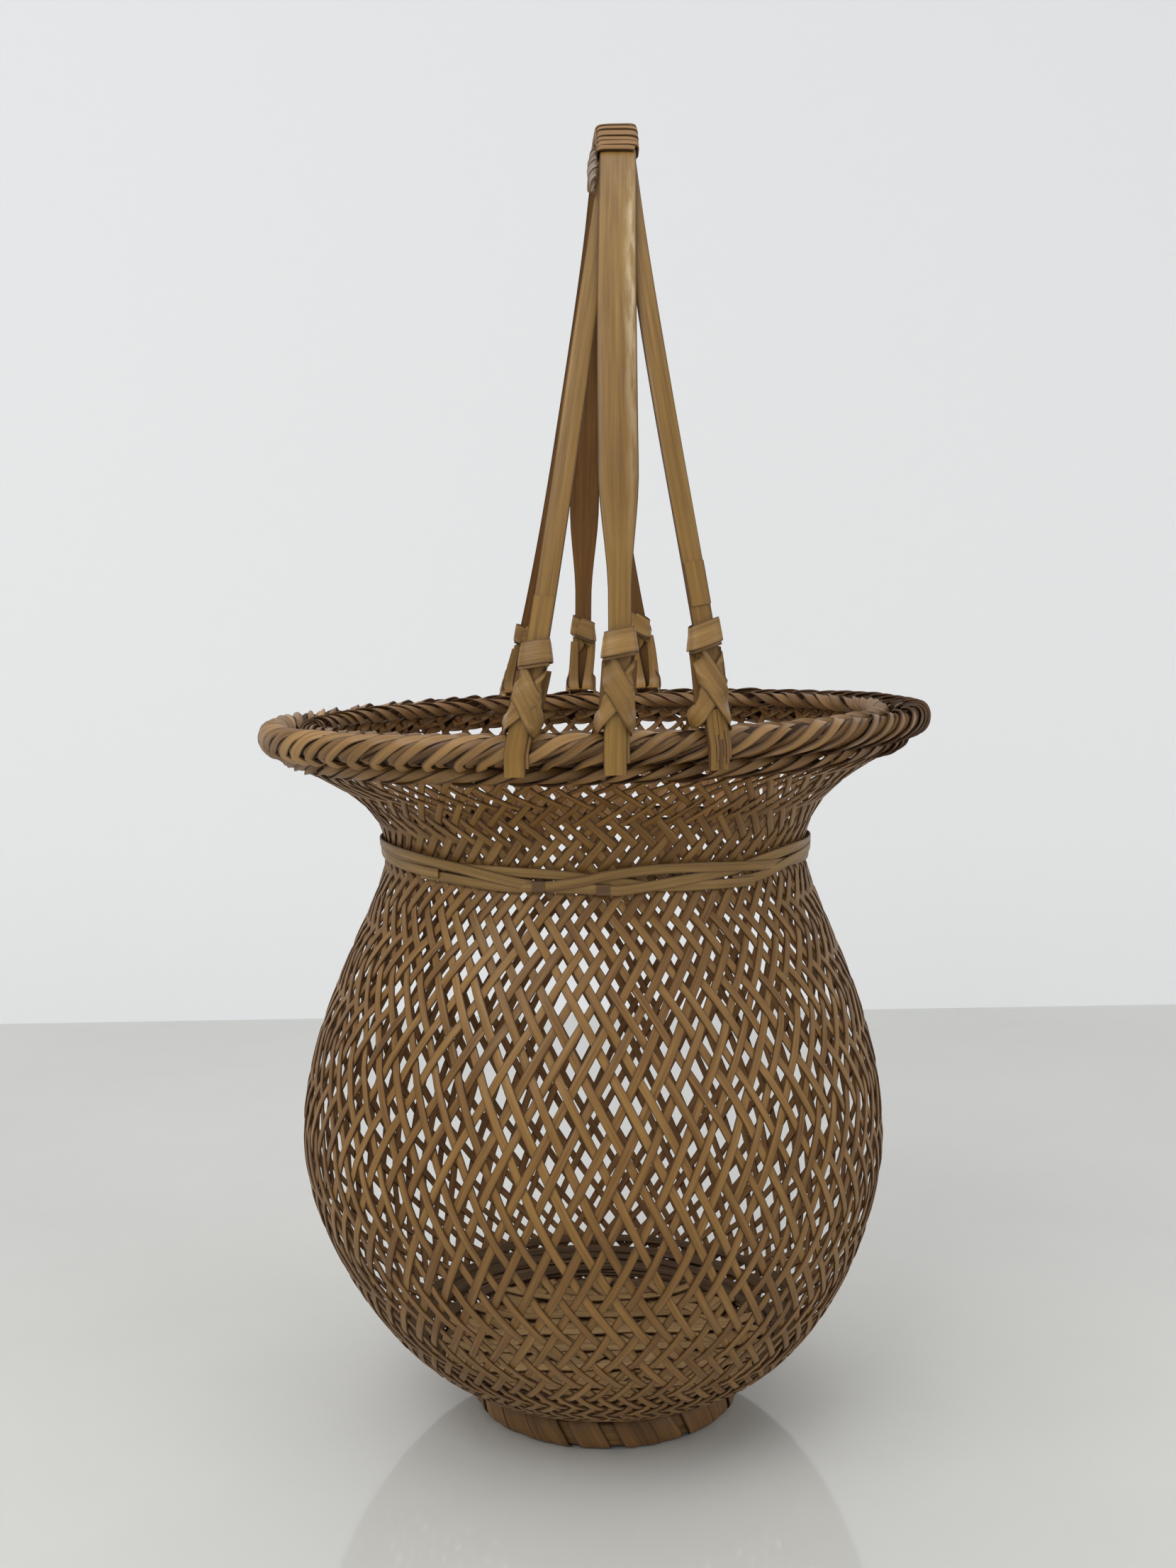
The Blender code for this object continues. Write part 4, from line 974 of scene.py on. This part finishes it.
def make_crown():
    blank = make_blank((20, 23))
    share = shares(blank)
    middle, across, outward = arch_frames(CROWN_PITCH * CROWN_TURNS * share - CROWN_FRONT)
    middle = middle - outward * (GAP + SIDE_THICKNESS) / 2
    depth = CENTRE_THICKNESS + SIDE_THICKNESS + GAP + CROWN_STRAND + 0.5 * MM
    width = CENTRE_TOP_WIDTH + 2 * GAP + CROWN_STRAND
    centres, facing = wound_route((middle, across, outward), CROWN_TURNS, width, depth, 0.9,
                                  CROWN_SHARPNESS)
    centres = centres + outward * (0.16 * MM * np.sin(share * 57.0))[:, None]
    strip = lay_strip(blank, centres, facing, CROWN_WIDTH * (1 + 0.04 * np.sin(share * 31.0)),
                      CROWN_STRAND, turn=HANDLE_YAW, roll=0.06)
    join("crown_wrapping", [strip], CROWN_BAMBOO, "lashing", "crown_binding")


def make_tail():
    """The binding's loose end: thin strips twisted round each other, which run
    down the handle's left edge below the crown and taper to a point."""
    blank = make_blank((7, 7))
    share = shares(blank)
    middle, across, outward = arch_frames((1.5 - TAIL_LENGTH * share) * MM - CROWN_FRONT)
    aside = (-6.5 - 0.5 * np.sin(share * 2.6))[:, None]
    middle = middle + (across * aside + outward * 0.1) * MM
    belly = (0.15 + 0.75 * np.sin(share * math.pi))[:, None] * MM
    width = (1.9 - 1.2 * smooth((share - 0.6) / 0.4)) * MM
    strips = []
    for number in range(TAIL_STRIPS):
        angle = math.tau * (1.6 * share[:, None] + number / TAIL_STRIPS) + 0.6
        facing = across * np.cos(angle) + outward * np.sin(angle)
        strips.append(lay_strip(blank, middle + facing * belly, facing, width,
                                TAIL_THICKNESS, turn=HANDLE_YAW))
    join("crown_twisted_tail", strips, TAIL_BAMBOO, "lashing", "crown_tail")


# Lashings

def leg_frames(side, end, heights):
    """Middle, across and outward direction of a leg at heights above the rim."""
    centres, outward = strip_line(side)
    half = len(centres) // 2
    part = slice(half) if end == "front" else slice(None, half, -1)
    level = RIM_HEIGHT + heights
    middle, out = (np.stack([np.interp(level, centres[part, 2], column)
                             for column in values[part].T], 1)
                   for values in (centres, outward))
    out = unit(out)
    return middle, unit(np.cross(UP, out)), out


def rounded_side(place, edge, face, corner=0.55):
    """Across and out of a leg's rounded section, at a distance round it in mm, and
    the same for a leg that goes straight back behind its outer corners."""
    quarter = math.pi / 2 * corner
    flat, deep = edge - corner, 2 * (face - corner)
    far = np.abs(place)
    first = np.clip(far - flat, 0.0, quarter) / corner
    second = np.clip(far - flat - quarter - deep, 0.0, quarter) / corner
    straight_x = np.minimum(far, flat) + corner * np.sin(first)
    front = face - corner * (1 - np.cos(first))
    x = (straight_x - corner * (1 - np.cos(second))
         - np.maximum(far - flat - 2 * quarter - deep, 0.0))
    y = front - np.clip(far - flat - quarter, 0.0, deep) - corner * np.sin(second)
    return x, y, straight_x, front - np.maximum(far - flat - quarter, 0.0)


def tie_sheet(place, level, edge, face, ring, flare):
    """Where a tie lies: flat round the leg above, then in over the roll's crest."""
    x, y, straight_x, straight_y = rounded_side(place, edge, face)
    loose = smooth((LOOSE_BELOW - level) / LOOSE_OVER)
    x = x + (straight_x - x) * loose
    y = y + (straight_y - y) * loose
    behind = np.maximum(face - y, 0.0)
    x = x + loose * np.where(place < 0, flare, 0.22) * np.minimum(behind, 5.0)
    y = y - 0.9 * np.maximum(8.0 - level, 0.0) * smooth(behind / 2.0)
    least = ROLL_SECTION / MM + 0.55
    most = least + 0.6
    far = np.maximum(np.hypot(y - ring, level), 0.1)
    scale = (np.where((behind > 0.3) & (far < least), least / far, 1.0)
             * np.where((y < ring) & (far > most), most / far, 1.0))
    return np.stack([np.sign(place) * x, ring + (y - ring) * scale, level * scale], 1)


def lay_band(blank, route, width, lift, leg, shape):
    """A flat band laid along a route of (place across, height) in mm on a tie's
    sheet, so that it folds round the leg without a bulge."""
    rows = flow(route, blank["steps"])
    along = unit(np.gradient(rows, axis=0))
    across = np.stack([-along[:, 1], along[:, 0]], 1)
    where = blank["station"]
    place, level = (rows[where] + across[where] * (blank["across"] * width)[:, None]).T
    step = 0.05
    point = tie_sheet(place, level, *shape)
    normal = unit(np.cross(tie_sheet(place, level + step, *shape) - point,
                           tie_sheet(place + step, level, *shape) - point))
    point = point + normal * (lift + blank["out"] * TAPE_THICKNESS / MM)[:, None]
    middle, aside, out = leg_frames(*leg, point[:, 2] * MM)
    world = middle + aside * point[:, :1] * MM + out * point[:, 1:2] * MM
    return copy_blank(blank, world, run_length(rows * MM), HANDLE_YAW)


def inner_band(blank, leg, way, thick, low):
    """One end of a tie, which fans out down the inside and over the roll."""
    aside_by, inward, level = flow(INNER_BAND, blank["steps"]).T[..., None] * MM
    inward = inward + (thick - SIDE_THICKNESS) / 2 + (INNER_THICKNESS if way > 0 else 0.0)
    level = level + low * MM * smooth((level / MM - 8.0) / 12.0)
    middle, aside, out = leg_frames(*leg, level[:, 0])
    centres = middle + aside * aside_by * way - out * inward
    facing = unit(np.cross(aside, unit(np.gradient(centres, axis=0))))
    facing = facing * np.sign(1e-9 - (facing * out).sum(1))[:, None]
    return lay_strip(blank, centres, facing, shares(blank, 2.6, 4.6) * MM,
                     INNER_THICKNESS, turn=HANDLE_YAW)


def make_lashing(end, name, side, band_blank, collar_blank):
    """One leg's collar, and the tie that crosses under it and goes over the roll."""
    leg = (side, end)
    width = SIDE_WIDTH if side else CENTRE_FOOT_WIDTH
    thick = SIDE_THICKNESS if side else CENTRE_THICKNESS
    level, tilt, tall = COLLARS[name]
    frames = leg_frames(*leg, shares(collar_blank, level - 1.5, level) * MM)
    centres, facing = wound_route(
        frames, COLLAR_TURNS, width + 2 * GAP + 1.6 * TAPE_THICKNESS,
        thick + 2 * GAP + 3.4 * TAPE_THICKNESS, 0.3, COLLAR_SHARPNESS, 1.8 * TAPE_THICKNESS)
    across = ((centres - frames[0]) * frames[1]).sum(1)
    centres = centres + UP * ((tilt + COLLAR_TILTS[end]) * across)[:, None]
    collar = lay_strip(collar_blank, centres, facing, tall * MM, 0.9 * TAPE_THICKNESS,
                       turn=HANDLE_YAW, roll=0.15)
    join(f"collar_wrap_{end}_{name}", [collar], LASHING_BAMBOO, "lashing",
         f"lashing_collar_{end}_{name}")

    edge, face = width / 2 / MM + 0.55, thick / 2 / MM + 0.5
    shape = (edge, face, -(thick / 2 + GAP + ROLL_SECTION) / MM, chance.uniform(0.32, 0.5))
    low = level - COLLARS["left"][0]
    back = edge + face + 2.0
    under, over = ([(place, height + low * share) for place, height, share in rows]
                   for rows in (UNDER_BAND + ((back, 22.2, 1),),
                                OVER_BAND + ((-back, 24.0, 1),)))
    bands = [lay_band(band_blank, under, UNDER_WIDTH, 0.0, leg, shape),
             lay_band(band_blank, over, OVER_WIDTH, OVER_LIFT, leg, shape)]
    rise = flow(np.array(SECOND_LAYER)[:, None] + chance.normal(0.0, 0.4),
                band_blank["steps"])[:, 0]
    middle, aside, out = leg_frames(*leg, rise * MM)
    centres = middle + aside * (width / 2 - 0.45 * MM) - out * 0.55 * MM
    bands.append(lay_strip(band_blank, centres, out, SECOND_WIDTH, TAPE_THICKNESS,
                           turn=HANDLE_YAW))
    bands += [inner_band(band_blank, leg, way, thick, low) for way in (-1, 1)]
    join(f"crossed_tie_{end}_{name}", bands, LASHING_BAMBOO, "lashing",
         f"lashing_tie_{end}_{name}")


def make_lashings():
    blanks_for_all = make_blank((5, 7)), make_blank((11, 6))
    for end in ("front", "back"):
        for name, side in (("left", -1), ("centre", 0), ("right", 1)):
            make_lashing(end, name, side, *blanks_for_all)


def leg_layer(blank, side, place, width, top, bottom, lift):
    """A thin layer or sliver that lies on the face of a front leg."""
    middle, aside, out = leg_frames(side, "front", shares(blank, top, bottom) * MM)
    centres = middle + aside * place * MM + out * (SIDE_THICKNESS / 2 + lift * MM)
    return lay_strip(blank, centres, out, width * MM, LAYER_THICKNESS, turn=HANDLE_YAW)


def make_repairs():
    blank = make_blank((6,))
    spliced = [leg_layer(blank, side, *row) for side, row in SPLICES.items()]
    join("leg_splices", spliced, HANDLE_BAMBOO, "handle")
    skin = [leg_layer(blank, 1, *row) for row in FRAYED_SKIN]
    join("frayed_tongue_skin", skin, HANDLE_BAMBOO, "handle")
    fibres = [leg_layer(blank, 1, *row) for row in FRAYED_FIBRES]
    join("frayed_tongue_fibres", fibres, INNER_BAMBOO, "handle")


# Stage, lights and camera

def make_plane(name, size, place, turn, near, far, axis, fade, veined, roughness,
               clear_behind=False):
    """A plain stage surface whose colour fades from near to far along an axis, as painted
    light falloff.
    One that is clear behind doesn't hide the basket from the far side."""
    deselect_all()
    bpy.ops.mesh.primitive_plane_add(size=1.0, location=(0, 0, 0))
    plane = bpy.context.object
    plane.name = name
    plane.data.transform(Matrix.LocRotScale(Vector(place), Euler(turn), (*size, 1.0)))
    material = bpy.data.materials.new(name)
    material.use_nodes = True
    tree = material.node_tree
    spot = add_node(tree, "ShaderNodeTexCoord", {}).outputs["Object"]
    # Painted light falloff: the colour darkens from near to far along the axis
    away = spread(tree, split(tree, spot)[axis], *fade)
    colour = mix_colour(tree, away, (*near, 1.0), (*far, 1.0))
    veins = spread(tree, noise(tree, spot, 2.6, 6.0, 0.62), 0.40, 0.62)
    tone = mix_colour(tree, veins, (1.0, 1.0, 1.0, 1.0), (*veined, 1.0))
    shader = tree.nodes["Principled BSDF"]
    feed(tree, shader, {"Roughness": roughness,
                        "Base Color": mix_colour(tree, 1.0, colour, tone, "MULTIPLY")})
    if clear_behind:
        side = add_node(tree, "ShaderNodeNewGeometry", {}).outputs["Backfacing"]
        clear = add_node(tree, "ShaderNodeBsdfTransparent", {}).outputs[0]
        either = add_node(tree, "ShaderNodeMixShader",
                          {0: side, 1: shader.outputs[0], 2: clear})
        feed(tree, tree.nodes["Material Output"], {"Surface": either.outputs[0]})
    lay_out(tree)
    plane.data.materials.append(material)


def make_stage():
    make_plane("floor", (6.0, 6.0), (0.0, 0.0, 0.0), (0.0, 0.0, 0.0),
               (0.69, 0.685, 0.640), (0.55, 0.55, 0.525), 1, (-0.35, 0.45),
               (0.93, 0.93, 0.93), 0.07)
    make_plane("backdrop", (6.0, 4.0), (0.0, 0.50, 2.0),
               (math.radians(90), 0.0, math.radians(1.5)), (0.935, 0.935, 0.935),
               (0.715, 0.71, 0.72), 2, (0.1, 0.8), (1.0, 1.0, 1.0), 0.9, clear_behind=True)


def make_lights():
    for name, (place, target, size, power) in LIGHTS.items():
        lamp = bpy.data.lights.new(name, "AREA")
        lamp.shape = "RECTANGLE"
        lamp.size, lamp.size_y = size
        lamp.energy = power
        holder = bpy.data.objects.new(name, lamp)
        bpy.context.scene.collection.objects.link(holder)
        holder.location = place
        aim = Vector(target) - Vector(place)
        holder.rotation_euler = aim.to_track_quat("-Z", "Y").to_euler()
    world = bpy.data.worlds.new("soft_room")
    bpy.context.scene.world = world
    world.use_nodes = True
    feed(world.node_tree, world.node_tree.nodes["Background"],
         {"Color": ROOM_COLOUR, "Strength": ROOM_LIGHT})


def make_camera():
    camera = bpy.data.cameras.new("photo_view")
    camera.sensor_fit = "HORIZONTAL"
    camera.sensor_width = 36.0
    camera.lens = CAMERA_LENS
    holder = bpy.data.objects.new("photo_view", camera)
    bpy.context.scene.collection.objects.link(holder)
    holder.matrix_world = (Matrix.Translation(CAMERA_PLACE)
                           @ Matrix.Rotation(CAMERA_PITCH, 4, "X")
                           @ Matrix.Rotation(CAMERA_ROLL, 4, "Z"))
    bpy.context.scene.camera = holder


make_wall()
make_rim()
make_neck()
make_foot()
make_base()
make_handle()
make_crown()
make_tail()
make_lashings()
make_repairs()
for blank_strip in blanks:
    bpy.data.objects.remove(blank_strip)
make_stage()
make_lights()
make_camera()
bpy.context.scene.view_settings.view_transform = "Standard"
